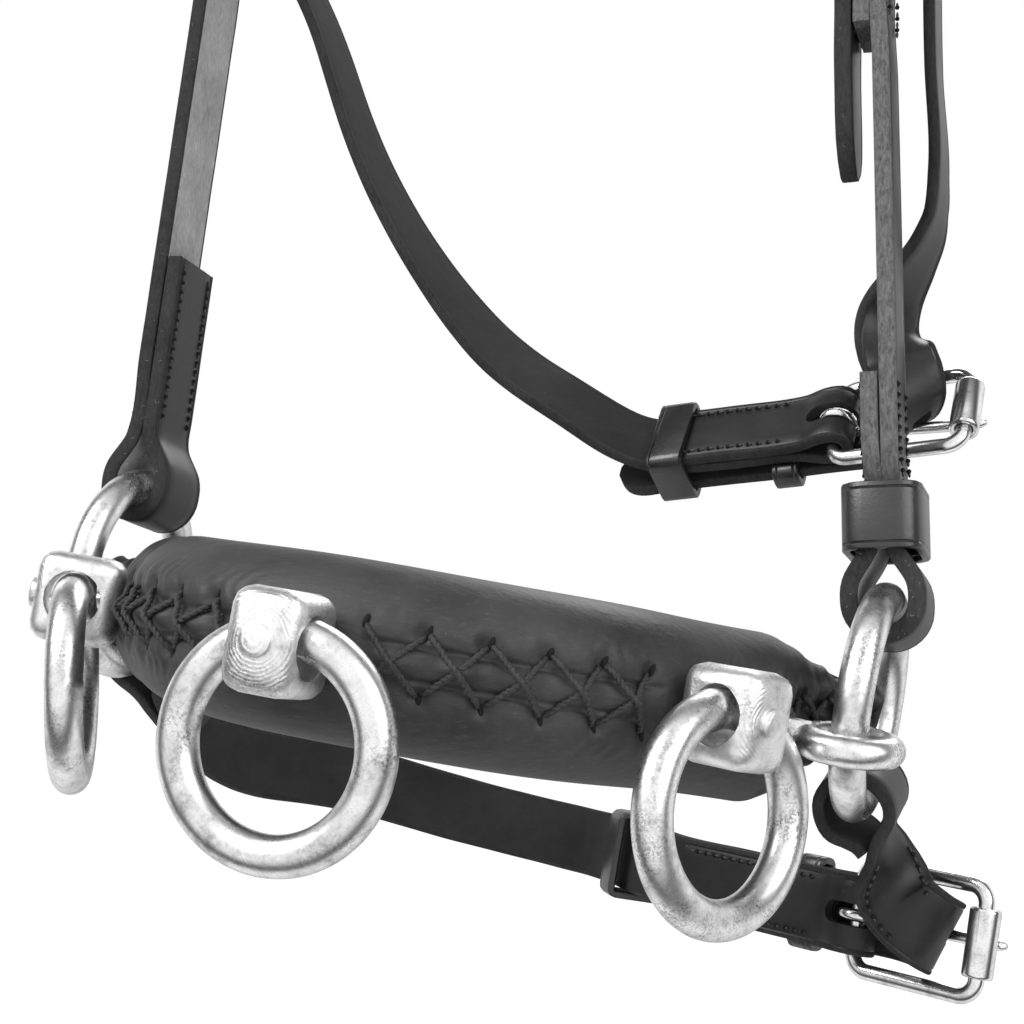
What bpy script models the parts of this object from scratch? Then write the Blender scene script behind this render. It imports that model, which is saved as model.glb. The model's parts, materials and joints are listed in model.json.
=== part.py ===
# Lunging cavesson: a padded noseband over a jointed nose iron, with three studs that carry
# lunge rings, two cheek rings, a headpiece, a jowl strap and a chin strap with roller buckles.
# Metres, +Z up, the horse facing -Y. The origin is the underside of the crown strap at the poll.
import bpy
import bmesh
from math import cos, pi, radians, sin, sqrt
from mathutils import Matrix, Quaternion, Vector

# Head sizes
nose_drop = 0.386            # poll down to the axis of the cheek rings
crown_set_back = 0.040       # the poll lies this far behind the cheek rings
nose_offset = 0.009          # the noseband hangs this far to the off side
nose_roll = radians(9.2)     # the noseband hangs lower on the near side
nose_pitch = radians(-3.2)   # and lower at its back
crown_half_width = 0.099
crown_rise = 0.092           # height of the arch over the poll
crown_flat = 0.032           # flat stretch that rests on the poll

# Fits
leather_gap = 0.0003         # between leather and what it lies on
iron_gap = 0.0004            # between iron pieces that lie on each other
bore_gap = 0.0004            # between a round piece and its bore
cut_overrun = 0.004          # how far a cutter passes what it cuts

# Straps
strap_width = 0.022
cheek_thickness = 0.0048
strap_thickness = 0.0034
tip_length = 0.016
tip_shares = ((0.0, 1.0), (0.45, 0.92), (0.78, 0.66), (1.0, 0.22))

# Noseband
nose_shift = 0.0022           # the noseband sits this far to the off side of its rings
nose_arc_radius = 0.0637     # at the middle of the nose
nose_arc_span = 0.1184       # the bend would have faded out here
flare_start = 0.086          # past the side studs the ends flare outward
flare_radius = 0.085
cover_reach = 0.155          # half length of the cover
cover_height = 0.0455
cover_depth = 0.0365
cover_wall = 0.0024
end_height = 0.019
end_depth = 0.015
end_rise = 0.004             # the ends stand this much higher than the middle
taper_start = 0.118
taper_end = 0.148
seam_depth = 0.0012
seam_half_height = 0.0075
core_reach = 0.118
iron_thickness = 0.004
iron_height = 0.019
iron_front = 0.0118          # front face of the iron, ahead of the middle of the padding
iron_reach = 0.118
iron_joint = 0.044           # the hinges of the nose iron
knuckle_radius = 0.0034
knuckle_pin_radius = 0.0016
centre_knuckle_share = 0.34  # share of the iron's height that the middle knuckle takes

# Studs and lunge rings
stud_station = 0.084
stud_width = 0.0185
stud_height = 0.0245
stud_seat = 0.0186           # back face of the stud, ahead of the middle of the padding
stud_front = 0.042
stud_round = 0.0048
stud_bore_radius = 0.0076
stud_bore_reach = 0.0316     # the bore lies this far ahead of the middle of the padding
stud_dot_radius = 0.0040
stud_dot_height = 0.0011
tenon_radius = 0.0042
ring_bar_radius = 0.005
ring_radius = 0.025          # to the middle of the bar
ring_lean_centre = radians(8.0)
ring_lean_near = radians(-7.5)
ring_lean_off = radians(7.0)

# Cheek rings and the eyes that hold them
cheek_ring_bar = 0.00475
cheek_ring_radius = 0.02725
cheek_ring_half_span = 0.1134
cheek_ring_set_back = 0.0872
cheek_ring_rise = 0.009
eye_bar = 0.0040
eye_hole_radius = 0.0063
eye_drop = radians(25.0)      # the eye holds the ring this far below its front
eye_tilt = radians(8.0)
eye_shank_radius = 0.0034
ring_loop_radius = 0.0088    # middle of the strap where it passes round a cheek ring
chin_loop_radius = 0.0094
ring_neck = 0.017
chin_neck = 0.015

# Buckles
wire_radius = 0.0022
buckle_length = 0.038        # heel bar to roller
buckle_inside = 0.0252       # window across the strap
buckle_corner = 0.0050
roller_radius = 0.0042
roller_end_gap = 0.0006
tongue_radius = 0.0017
tongue_hook_share = 0.80     # share of a full turn that the tongue goes round the heel bar
tongue_overhang = 0.004
heel_neck = 0.012
slot_length = 0.017
slot_width = 0.0062
billet_hole_length = 0.023
billet_hole_width = 0.0050

# Lengths sewn back
cheek_fold_near = 0.062
cheek_fold_off = 0.072
crown_fold = 0.030
jowl_fold = 0.058
chin_fold = 0.060
chin_off_fold = 0.032
billet_fold = 0.0125
billet_neck = 0.0115
straight_past_fold = 0.008

# Keepers
keeper_length = 0.011
keeper_wall = 0.0022
fixed_keeper_length = 0.008
cheek_keeper_length = 0.018
cheek_keeper_depth = 0.0170  # clear depth of the round keeper on the near cheek
cheek_keeper_width = 0.0240
cheek_keeper_corner = 0.0040
keeper_corner = 0.0007
cheek_keeper_station = 0.0225
jowl_running_station = 0.051
jowl_fixed_station = 0.016
chin_running_station = 0.099
chin_fixed_station = 0.021
jowl_tail = 0.078
chin_tail = 0.112
crown_tail = 0.072

# Jowl strap, from the poll
jowl_heel_x = 0.087
jowl_heel_y = 0.006
jowl_heel_z = -0.325
jowl_belly = 0.012           # how far the strap stands back from the line of its ends

# Chin strap, from the axis of the cheek rings
chin_heel_x = 0.1144
chin_heel_y = 0.033
chin_heel_z = -0.059
chin_back = 0.120            # back of the chin strap behind the ring axis
chin_off_angle = radians(38.0)

# Fineness of the round shapes
ring_steps = 32
ring_sides = 10
wire_sides = 8
cover_sides = 20
cover_steps = 34
fold_steps = 8
spine_steps = 10
turn_limit = radians(7.0)
twist_limit = radians(2.0)
long_run = 0.030

# Places that repeat and shapes of the strap ends
sides_of_head = (("near", 1.0), ("off", -1.0))
stud_places = (("centre", 0.0), ("near", stud_station), ("off", -stud_station))
near_cheek_share = 0.66
jowl_join_run = 0.024        # length of the sewn joins at the top of the cheeks
jowl_yaw = radians(-8.0)
jowl_pitch = radians(4.0)
jowl_bank = radians(49.0)
chin_yaw = radians(-23.0)
chin_pitch = radians(1.7)
chin_bank = radians(88.0)
chin_leave_share = 0.45
chin_wrap_slant = radians(21.0)
jowl_wrap_slant = radians(42.0)
chin_wrap_end = -0.0165
jowl_wrap_end = -0.0105
wrap_front = 0.011           # the chin billet comes in this far in front of its buckle
climb_share = 0.55
billet_lead = 0.014
billet_peel = 0.0048
billet_hang_x = 0.1165
billet_hang_y = 0.002
billet_hang_shares = (0.49, 0.60, 0.71, 0.82)
hole_share = 0.45

# Shares of the jowl strap's span, belly and height, and of the turn to a level width
jowl_route_shares = ((0.38, 0.5, 0.01, 0.05), (0.571, 0.7, 0.109, 0.2),
                     (0.681, 0.75, 0.217, 0.4), (0.791, 0.75, 0.361, 0.55),
                     (0.863, 0.6, 0.5, 0.7), (0.91, 0.3, 0.65, 0.9))
# Shares of the heel bar's place and of the chin strap's back
chin_route_shares = ((0.22, 0.78, 1.04), (-0.02, 0.98, 1.07), (-0.3, 0.86, 1.02),
                     (-0.58, 0.62, 0.91))
nearly_one = 0.999
loop_hold_share = 0.35


def clear_scene():
    for thing in list(bpy.data.objects):
        bpy.data.objects.remove(thing, do_unlink=True)


# Materials
def make_material(name, colour, roughness, metallic):
    material = bpy.data.materials.new(name)
    material.use_nodes = True
    shader = material.node_tree.nodes["Principled BSDF"]
    shader.inputs["Base Color"].default_value = (*colour, 1.0)
    shader.inputs["Roughness"].default_value = roughness
    shader.inputs["Metallic"].default_value = metallic
    material.diffuse_color = (*colour, 1.0)
    return material


def black_leather(name):
    return make_material(name, (0.035, 0.034, 0.033), 0.45, 0.0)


def bright_steel(name):
    return make_material(name, (0.72, 0.72, 0.71), 0.28, 1.0)


def dark_iron(name):
    return make_material(name, (0.35, 0.35, 0.35), 0.5, 1.0)


def wool_felt(name):
    return make_material(name, (0.55, 0.52, 0.46), 0.9, 0.0)


# Objects and frames
def add_frame(name, matrix, parent=None):
    frame = bpy.data.objects.new(name, None)
    bpy.context.collection.objects.link(frame)
    frame.parent = parent
    frame.matrix_local = matrix
    bpy.context.view_layer.update()
    return frame


def add_object(name, mesh_data, material, frame):
    mesh = bpy.data.meshes.new(name)
    mesh_data.to_mesh(mesh)
    mesh_data.free()
    mesh.materials.append(material(name + "_finish"))
    mesh.shade_smooth()
    mesh.set_sharp_from_angle(angle=radians(32.0))
    thing = bpy.data.objects.new(name, mesh)
    bpy.context.collection.objects.link(thing)
    thing.parent = frame
    return thing


def add_cutter(name, mesh_data, frame):
    cutter = add_object(name, mesh_data, dark_iron, frame)
    cutter.hide_render = True
    cutter.display_type = "WIRE"
    return cutter


def combine(target, cutter, operation):
    step = target.modifiers.new(cutter.name, "BOOLEAN")
    step.operation = operation
    step.solver = "EXACT"
    step.object = cutter


def apply_booleans(target, cutters):
    bpy.context.view_layer.update()
    graph = bpy.context.evaluated_depsgraph_get()
    result = bpy.data.meshes.new_from_object(target.evaluated_get(graph))
    target.modifiers.clear()
    old = target.data
    target.data = result
    target.data.name = target.name
    bpy.data.meshes.remove(old)
    for cutter in cutters:
        bpy.data.objects.remove(cutter, do_unlink=True)
    target.data.shade_smooth()
    target.data.set_sharp_from_angle(angle=radians(32.0))


def cut(target, cutters):
    # Twisted faces are split first, so that a cut leaves flat faces only
    shape = bmesh.new()
    shape.from_mesh(target.data)
    bmesh.ops.triangulate(shape, faces=[f for f in shape.faces if len(f.verts) == 4])
    shape.to_mesh(target.data)
    shape.free()
    for cutter in cutters:
        combine(target, cutter, "DIFFERENCE")
    apply_booleans(target, cutters)


def join(target, pieces):
    for piece in pieces:
        combine(target, piece, "UNION")
    apply_booleans(target, pieces)


# Lofted solids
def loft(rings, closed):
    shape = bmesh.new()
    rows = [[shape.verts.new(point) for point in ring] for ring in rings]
    count = len(rows[0])
    pairs = list(zip(rows, rows[1:]))
    if closed:
        pairs.append((rows[-1], rows[0]))
    for first, second in pairs:
        for i in range(count):
            j = (i + 1) % count
            shape.faces.new((first[i], first[j], second[j], second[i]))
    if not closed:
        shape.faces.new(rows[0][::-1])
        shape.faces.new(rows[-1])
    bmesh.ops.recalc_face_normals(shape, faces=shape.faces)
    return shape


def make_torus(centre, axis, start, radius, bar, steps=ring_steps, sides=ring_sides):
    axis = axis.normalized()
    first = (start - axis * start.dot(axis)).normalized()
    second = axis.cross(first)
    rings = []
    for i in range(steps):
        turn = 2.0 * pi * i / steps
        out = first * cos(turn) + second * sin(turn)
        ring = []
        for k in range(sides):
            lift = 2.0 * pi * (k + 0.5) / sides
            ring.append(centre + out * (radius + bar * cos(lift)) + axis * bar * sin(lift))
        rings.append(ring)
    return loft(rings, True)


def make_tube(points, radius, sides):
    rings = []
    side = None
    for i, point in enumerate(points):
        ahead = points[min(i + 1, len(points) - 1)]
        behind = points[max(i - 1, 0)]
        along = (ahead - behind).normalized()
        if side is None:
            guess = Vector((0.0, 0.0, 1.0))
            if abs(along.dot(guess)) > nearly_one:
                guess = Vector((0.0, 1.0, 0.0))
            side = along.cross(guess).normalized()
        side = (side - along * side.dot(along)).normalized()
        up = along.cross(side)
        turns = [2.0 * pi * (k + 0.5) / sides for k in range(sides)]
        rings.append([point + side * radius * cos(t) + up * radius * sin(t) for t in turns])
    return loft(rings, False)


def make_cylinder(start, end, radius, sides):
    return make_tube([start, end], radius, sides)


# A spine is the middle line of a strap, with the strap's width direction along it
class Spine:
    def __init__(self, points, acrosses):
        self.points = points
        self.stations = [0.0]
        for first, second in zip(points, points[1:]):
            self.stations.append(self.stations[-1] + (second - first).length)
        self.length = self.stations[-1]
        self.tangents = []
        for i in range(len(points)):
            ahead = points[min(i + 1, len(points) - 1)]
            behind = points[max(i - 1, 0)]
            self.tangents.append((ahead - behind).normalized())
        self.acrosses = []
        for across, along in zip(acrosses, self.tangents):
            self.acrosses.append((across - along * across.dot(along)).normalized())

    def at(self, station):
        if station <= 0.0:
            index, share = 0, 0.0
        elif station >= self.length:
            index, share = len(self.points) - 2, 1.0
        else:
            index = max(i for i, s in enumerate(self.stations[:-1]) if s <= station)
            step = self.stations[index + 1] - self.stations[index]
            share = (station - self.stations[index]) / step
        point = self.points[index].lerp(self.points[index + 1], share)
        along = self.tangents[index].lerp(self.tangents[index + 1], share).normalized()
        across = self.acrosses[index].lerp(self.acrosses[index + 1], share)
        across = (across - along * across.dot(along)).normalized()
        if station < 0.0:
            point = point + along * station
        if station > self.length:
            point = point + along * (station - self.length)
        return point, along, across, along.cross(across)

    def place(self, station, offset):
        point, along, across, face = self.at(station)
        return point + face * offset

    def frame(self, station, offset=0.0):
        point, along, across, face = self.at(station)
        matrix = Matrix((along, across, face)).transposed().to_4x4()
        matrix.translation = point + face * offset
        return matrix


def smooth_spine(knots, last_heading=None):
    # A curve through the knots that doesn't swing out where long and short spans meet
    points = [knot[0] for knot in knots]
    spans = [after - before for before, after in zip(points, points[1:])]
    headings = [spans[0].normalized()]
    for before, after in zip(spans, spans[1:]):
        blend = before.normalized() * after.length + after.normalized() * before.length
        headings.append(blend.normalized())
    headings.append(last_heading or spans[-1].normalized())
    line = []
    for i, span in enumerate(spans):
        leave, arrive = headings[i] * span.length, headings[i + 1] * span.length
        for k in range(spine_steps):
            t = k / spine_steps
            line.append(points[i] + span * ease(t) + leave * t * (1.0 - t) ** 2
                        - arrive * t * t * (1.0 - t))
    line.append(points[-1])
    return Spine(line, spread_twist(line, [knot[1] for knot in knots]))


def spread_twist(line, fixed):
    # Carries the width direction along the line and spreads the twist between fixed places
    tangents = []
    for i in range(len(line)):
        ahead, behind = line[min(i + 1, len(line) - 1)], line[max(i - 1, 0)]
        tangents.append((ahead - behind).normalized())
    held = [i for i, side in enumerate(fixed) if side is not None]
    sides = [fixed[0]]
    for first, second in zip(held, held[1:]):
        start, end = first * spine_steps, second * spine_steps
        side, goal = fixed[first], fixed[second]
        along = tangents[start]
        side = (side - along * side.dot(along)).normalized()
        carried = [side]
        for k in range(start, end):
            side = tangents[k].rotation_difference(tangents[k + 1]) @ side
            carried.append(side)
        along = tangents[end]
        flat = (goal - along * goal.dot(along)).normalized()
        left = side.angle(flat, 0.0)
        if side.cross(flat).dot(along) < 0.0:
            left = -left
        for k in range(1, end - start + 1):
            turn = Quaternion(tangents[start + k], left * k / (end - start))
            sides.append(turn @ carried[k])
    return sides


def ease(share):
    return share * share * (3.0 - 2.0 * share)


def glide(start, end, steps):
    # Offsets that leave and arrive without a corner, as (station, offset) pairs
    pairs = []
    for i in range(1, steps + 1):
        share = i / steps
        station = start[0] + (end[0] - start[0]) * share
        pairs.append((station, start[1] + (end[1] - start[1]) * ease(share)))
    return pairs


def fold_route(bar_loop, layer_offset, neck, fold_length, side, start, heading):
    # From the end of the sewn-back length, round the bar, to the neck of the main length
    route = [(start + heading * fold_length, side * layer_offset)]
    count = max(2, int(round((fold_length - neck) / (long_run / 4))))
    for i in range(1, count + 1):
        station = fold_length + (neck - fold_length) * i / count
        route.append((start + heading * station, side * layer_offset))
    held = start + heading * bar_loop * loop_hold_share
    route += glide(route[-1], (held, side * bar_loop), 5)
    route.append((start, side * bar_loop))
    for i in range(1, 2 * fold_steps):
        turn = pi * i / (2 * fold_steps)
        route.append((start - heading * bar_loop * sin(turn), side * bar_loop * cos(turn)))
    route.append((start, -side * bar_loop))
    route.append((held, -side * bar_loop))
    route += glide(route[-1], (start + heading * neck, -side * layer_offset), 5)
    return route


def straight_route(start, end, offset):
    count = max(1, int(round(abs(end - start) / (long_run / 4))))
    return [(start + (end - start) * i / count, offset) for i in range(1, count + 1)]


def follow(spine, route):
    # World places and width directions of a route along a spine
    return [(spine.place(s, v), spine.at(s)[2]) for s, v in route]


def thin_out(track):
    # Leaves out places where the strap neither bends nor twists
    kept = [track[0]]
    for i in range(1, len(track) - 1):
        before = (track[i][0] - kept[-1][0])
        after = (track[i + 1][0] - track[i][0])
        if before.length < strap_thickness * 0.15:
            continue
        turned = before.angle(after, 0.0)
        reached = (track[i + 1][0] - kept[-1][0]).length
        twisted = track[i + 1][1].angle(kept[-1][1], 0.0)
        if turned > turn_limit / 2.0 or reached > long_run or twisted > twist_limit:
            kept.append(track[i])
    kept.append(track[-1])
    return kept


def make_strap(name, track, thickness, frame, tip=False):
    track = thin_out(track)
    points = [place for place, across in track]
    widths = [1.0] * len(track)
    if tip:
        end, across = track[-1]
        along = (points[-1] - points[-2]).normalized()
        base = end
        for share, width in tip_shares[1:]:
            track.append((base + along * tip_length * share, across))
            points.append(base + along * tip_length * share)
            widths.append(width)
    rings = []
    for i, (place, across) in enumerate(track):
        ahead = points[min(i + 1, len(points) - 1)]
        behind = points[max(i - 1, 0)]
        along = (ahead - behind).normalized()
        wide = (across - along * across.dot(along)).normalized()
        face = along.cross(wide)
        stretch = 1.0
        if 0 < i < len(points) - 1:
            bend = (points[i] - behind).angle(ahead - points[i], 0.0)
            stretch = 1.0 / cos(bend / 2.0)
        half = wide * strap_width * widths[i] / 2.0
        lift = face * thickness * stretch / 2.0
        rings.append([place - half - lift, place + half - lift,
                      place + half + lift, place - half + lift])
    return add_object(name, loft(rings, False), black_leather, frame)


def make_slot_cutter(name, matrix, length, width, depth, frame):
    # An oblong through hole, long along x and deep along z
    outline = []
    straight = (length - width) / 2.0
    for end in (1.0, -1.0):
        for i in range(7):
            turn = -pi / 2.0 + pi * i / 6.0
            x = end * (straight + width / 2.0 * cos(turn))
            outline.append((x, end * width / 2.0 * sin(turn)))
    rings = []
    for z in (-depth / 2.0, depth / 2.0):
        rings.append([matrix @ Vector((x, y, z)) for x, y in outline])
    return add_cutter(name, loft(rings, False), frame)


# Buckles: heel bar at the start of the spine, roller beyond it
def buckle_outline():
    half = buckle_inside / 2.0 + wire_radius
    corners = []
    for cx, cy, turn in ((0.0, half, 0.0), (-buckle_length, half, 0.5 * pi),
                         (-buckle_length, -half, pi), (0.0, -half, 1.5 * pi)):
        inward_x = buckle_corner if cx < 0.0 else -buckle_corner
        inward_y = -buckle_corner if cy > 0.0 else buckle_corner
        centre = Vector((cx + inward_x, cy + inward_y))
        for i in range(5):
            angle = turn + 0.5 * pi * i / 4.0
            corners.append(centre + Vector((cos(angle), sin(angle))) * buckle_corner)
    return corners


def make_buckle_frame(name, matrix, frame):
    outline = buckle_outline()
    rings = []
    count = len(outline)
    for i, corner in enumerate(outline):
        ahead = outline[(i + 1) % count]
        behind = outline[i - 1]
        along = Vector((ahead.x - behind.x, ahead.y - behind.y)).normalized()
        out = Vector((along.y, -along.x))
        ring = []
        for k in range(wire_sides):
            lift = 2.0 * pi * (k + 0.5) / wire_sides
            reach = wire_radius * cos(lift)
            x, y = corner.x + out.x * reach, corner.y + out.y * reach
            ring.append(matrix @ Vector((x, y, wire_radius * sin(lift))))
        rings.append(ring)
    return add_object(name, loft(rings, True), bright_steel, frame)


def make_roller(name, matrix, frame):
    half = buckle_inside / 2.0 + wire_radius - buckle_corner - roller_end_gap
    inner = wire_radius + bore_gap
    profile = ((inner, -half), (roller_radius, -half), (roller_radius, half), (inner, half))
    sides = 16
    rings = []
    for i in range(sides):
        turn = 2.0 * pi * i / sides
        ring = []
        for radius, y in profile:
            ring.append(matrix @ Vector((radius * cos(turn), y, radius * sin(turn))))
        rings.append(ring)
    return add_object(name, loft(rings, True), bright_steel, frame)


def make_tongue(name, matrix, side, frame):
    # Hooks round the heel bar, then lies on the roller on the given side of the frame
    hook = wire_radius + bore_gap + tongue_radius
    rise = roller_radius + iron_gap + tongue_radius
    points = []
    steps = 10
    for i in range(steps + 1):
        turn = 0.5 * pi - 2.0 * pi * tongue_hook_share * (1.0 - i / steps)
        points.append(Vector((hook * cos(turn), 0.0, side * hook * sin(turn))))
    lift = rise - hook
    for i in range(1, 6):
        share = i / 5
        x = -(buckle_length + tongue_overhang) * share
        points.append(Vector((x, 0.0, side * (hook + lift * ease(min(1.0, share))))))
    return add_object(name, make_tube([matrix @ p for p in points], tongue_radius, 6),
                      bright_steel, frame)


def make_buckle(prefix, spine, side, frame):
    heel = spine.frame(0.0)
    roller = heel @ Matrix.Translation((-buckle_length, 0.0, 0.0))
    heel_frame = add_frame(prefix + "_tongue_axis", heel, frame)
    roller_frame = add_frame(prefix + "_roller_axis", roller, frame)
    unturned = Matrix.Identity(4)
    make_buckle_frame(prefix + "_buckle_frame", heel, frame)
    make_roller(prefix + "_buckle_roller", unturned, roller_frame)
    make_tongue(prefix + "_buckle_tongue", unturned, side, heel_frame)


# Keepers: a flat leather loop round a stack of straps
def make_keeper(name, matrix, length, half_width, low, high, corner, frame):
    wall = keeper_wall

    def outline(grow):
        top, bottom, side = high + grow, low - grow, half_width + grow
        reach = corner + grow
        points = []
        for cy, cz, turn in ((side, top, 0.0), (-side, top, 0.5 * pi),
                             (-side, bottom, pi), (side, bottom, 1.5 * pi)):
            centre_y = cy - reach if cy > 0.0 else cy + reach
            centre_z = cz - reach if cz == top else cz + reach
            for i in range(4):
                angle = turn + 0.5 * pi * i / 3.0
                points.append((centre_y + reach * cos(angle), centre_z + reach * sin(angle)))
        return points

    inner, outer = outline(0.0), outline(wall)
    rings = []
    for (iy, iz), (oy, oz) in zip(inner, outer):
        corners = ((-length / 2.0, iy, iz), (length / 2.0, iy, iz),
                   (length / 2.0, oy, oz), (-length / 2.0, oy, oz))
        rings.append([matrix @ Vector(corner) for corner in corners])
    return add_object(name, loft(rings, True), black_leather, frame)


# The noseband's own curve, as (point, heading) at a station along it
def nose_curve(station):
    side = 1.0 if station >= 0.0 else -1.0
    goal = abs(station)
    steps = max(1, int(goal / (cover_reach / 90)))
    step = goal / steps
    x = y = 0.0
    for i in range(steps):
        heading = nose_heading((i + 0.5) * step)
        x += cos(heading) * step
        y += sin(heading) * step
    rise = end_rise * taper_share(station)
    point = Vector((side * x - nose_shift, y - cheek_ring_set_back, rise - cheek_ring_rise))
    return point, side * nose_heading(goal)


def nose_heading(station):
    near = min(station, flare_start)
    heading = (near - near ** 3 / (3.0 * nose_arc_span ** 2)) / nose_arc_radius
    return heading - max(0.0, station - flare_start) / flare_radius


def nose_frame(station, reach=0.0):
    # x along the noseband, y back towards the nose, z up
    point, heading = nose_curve(station)
    matrix = Matrix.Rotation(heading, 4, "Z")
    matrix.translation = point - matrix.to_3x3() @ Vector((0.0, reach, 0.0))
    return matrix


def taper_share(station):
    share = (abs(station) - taper_start) / (taper_end - taper_start)
    return ease(min(1.0, max(0.0, share)))


def nose_size(station):
    # Height and depth of the roll, which narrows towards its ends
    share = taper_share(station)
    height = cover_height + (end_height - cover_height) * share
    depth = cover_depth + (end_depth - cover_depth) * share
    return height, depth


def nose_ring(station, inset, seam, sides):
    height, depth = nose_size(station)
    matrix = nose_frame(station)
    ring = []
    for k in range(sides):
        turn = 2.0 * pi * k / sides
        y = -cos(turn) * (depth / 2.0 - inset)
        z = sin(turn) * (height / 2.0 - inset)
        if seam and cos(turn) > 0.0 and abs(z) < seam_half_height:
            y += seam_depth * (1.0 - abs(z) / seam_half_height)
        ring.append(matrix @ Vector((0.0, y, z)))
    return ring


def stations_between(reach, steps):
    return [reach * (2.0 * i / steps - 1.0) for i in range(steps + 1)]


def make_cover(frame):
    stations = stations_between(cover_reach, cover_steps)
    outer = [nose_ring(s, 0.0, True, cover_sides) for s in stations]
    inner = [nose_ring(s, cover_wall, False, cover_sides) for s in reversed(stations)]
    cover = add_object("noseband_cover", loft(outer + inner, True), black_leather, frame)
    cutters = []
    for name, station in stud_places:
        base = nose_frame(station)
        start = base @ Vector((0.0, -iron_front + iron_thickness, 0.0))
        end = base @ Vector((0.0, -stud_seat - cut_overrun, 0.0))
        hole = make_cylinder(start, end, tenon_radius + leather_gap, 12)
        cutters.append(add_cutter(name + "_cover_hole", hole, frame))
    for name, side in sides_of_head:
        shank = make_eye_shank(side, eye_shank_radius + leather_gap)
        cutters.append(add_cutter(name + "_shank_hole", shank, frame))
        eye = make_eye(side, leather_gap)
        cutters.append(add_cutter(name + "_eye_hollow", eye, frame))
    cut(cover, cutters)


def make_padding(frame):
    # Felt core with a flat front, where the nose iron lies
    front = iron_front - iron_thickness / 2.0 - knuckle_radius - iron_gap
    rings = []
    for station in stations_between(core_reach, cover_steps):
        height, depth = nose_size(station)
        matrix = nose_frame(station)
        ring = []
        for k in range(cover_sides):
            turn = 2.0 * pi * k / cover_sides
            y = -cos(turn) * (depth / 2.0 - cover_wall - leather_gap * 2.0)
            z = sin(turn) * (height / 2.0 - cover_wall - leather_gap * 2.0)
            limit = min(front, depth / 4.0)
            ring.append(matrix @ Vector((0.0, max(y, -limit), z)))
        rings.append(ring)
    padding = add_object("noseband_padding", loft(rings, False), wool_felt, frame)
    cutters = []
    for name, side in sides_of_head:
        shank = make_eye_shank(side, eye_shank_radius + iron_gap)
        cutters.append(add_cutter(name + "_shank_groove", shank, frame))
        eye = make_eye(side, iron_gap)
        cutters.append(add_cutter(name + "_eye_groove", eye, frame))
    cut(padding, cutters)


def iron_strip(start, end, steps):
    rings = []
    for i in range(steps + 1):
        matrix = nose_frame(start + (end - start) * i / steps)
        back, front, half = -iron_front + iron_thickness, -iron_front, iron_height / 2.0
        corners = ((back, -half), (front, -half), (front, half), (back, half))
        rings.append([matrix @ Vector((0.0, y, z)) for y, z in corners])
    return loft(rings, False)


def knuckle_span(middle):
    half = iron_height * centre_knuckle_share / 2.0
    if middle:
        return ((-half + iron_gap, half - iron_gap),)
    return ((-iron_height / 2.0, -half), (half, iron_height / 2.0))


def hinge_place(side):
    matrix = nose_frame(side * iron_joint)
    return matrix @ Vector((0.0, -iron_front + iron_thickness / 2.0, 0.0))


def make_knuckles(prefix, side, middle, frame):
    pieces = []
    centre = hinge_place(side)
    for i, (low, high) in enumerate(knuckle_span(middle)):
        up = Vector((0.0, 0.0, 1.0))
        body = make_cylinder(centre + up * low, centre + up * high, knuckle_radius, 12)
        pieces.append(add_cutter(prefix + "_knuckle_" + str(i), body, frame))
    return pieces


def make_knuckle_gaps(prefix, side, middle, frame):
    # Room for the other iron's knuckles, and the bore of the pin
    pieces = []
    centre = hinge_place(side)
    up = Vector((0.0, 0.0, 1.0))
    for i, (low, high) in enumerate(knuckle_span(not middle)):
        start = centre + up * (low - iron_gap)
        end = centre + up * (high + iron_gap)
        body = make_cylinder(start, end, knuckle_radius + iron_gap * 2.0, 12)
        pieces.append(add_cutter(prefix + "_gap_" + str(i), body, frame))
    reach = iron_height / 2.0 + cut_overrun
    bore = make_cylinder(centre - up * reach, centre + up * reach,
                         knuckle_pin_radius + bore_gap, 12)
    pieces.append(add_cutter(prefix + "_pin_bore", bore, frame))
    return pieces


def tenon_bore(name, station, frame):
    base = nose_frame(station)
    start = base @ Vector((0.0, -iron_front + iron_thickness + cut_overrun, 0.0))
    end = base @ Vector((0.0, -iron_front - cut_overrun, 0.0))
    return add_cutter(name + "_iron_bore", make_cylinder(start, end, tenon_radius + bore_gap, 12),
                      frame)


def eye_centre(side):
    reach = cheek_ring_radius
    return Vector((side * cheek_ring_half_span, -reach * cos(eye_drop), -reach * sin(eye_drop)))


def make_eye(side, grow):
    radius = eye_hole_radius + eye_bar
    axis = Vector((0.0, -sin(eye_tilt), cos(eye_tilt)))
    return make_torus(eye_centre(side), axis, Vector((side, 0.0, 0.0)),
                      radius, eye_bar + grow, 20, 8)


def make_eye_shank(side, radius):
    matrix = nose_frame(side * (iron_reach - iron_height / 2.0))
    root = matrix @ Vector((0.0, -iron_front + iron_thickness / 2.0, 0.0))
    away = (root - eye_centre(side)).normalized()
    start = eye_centre(side) + away * (eye_hole_radius + eye_bar)
    return make_cylinder(start, root, radius, 10)


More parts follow.
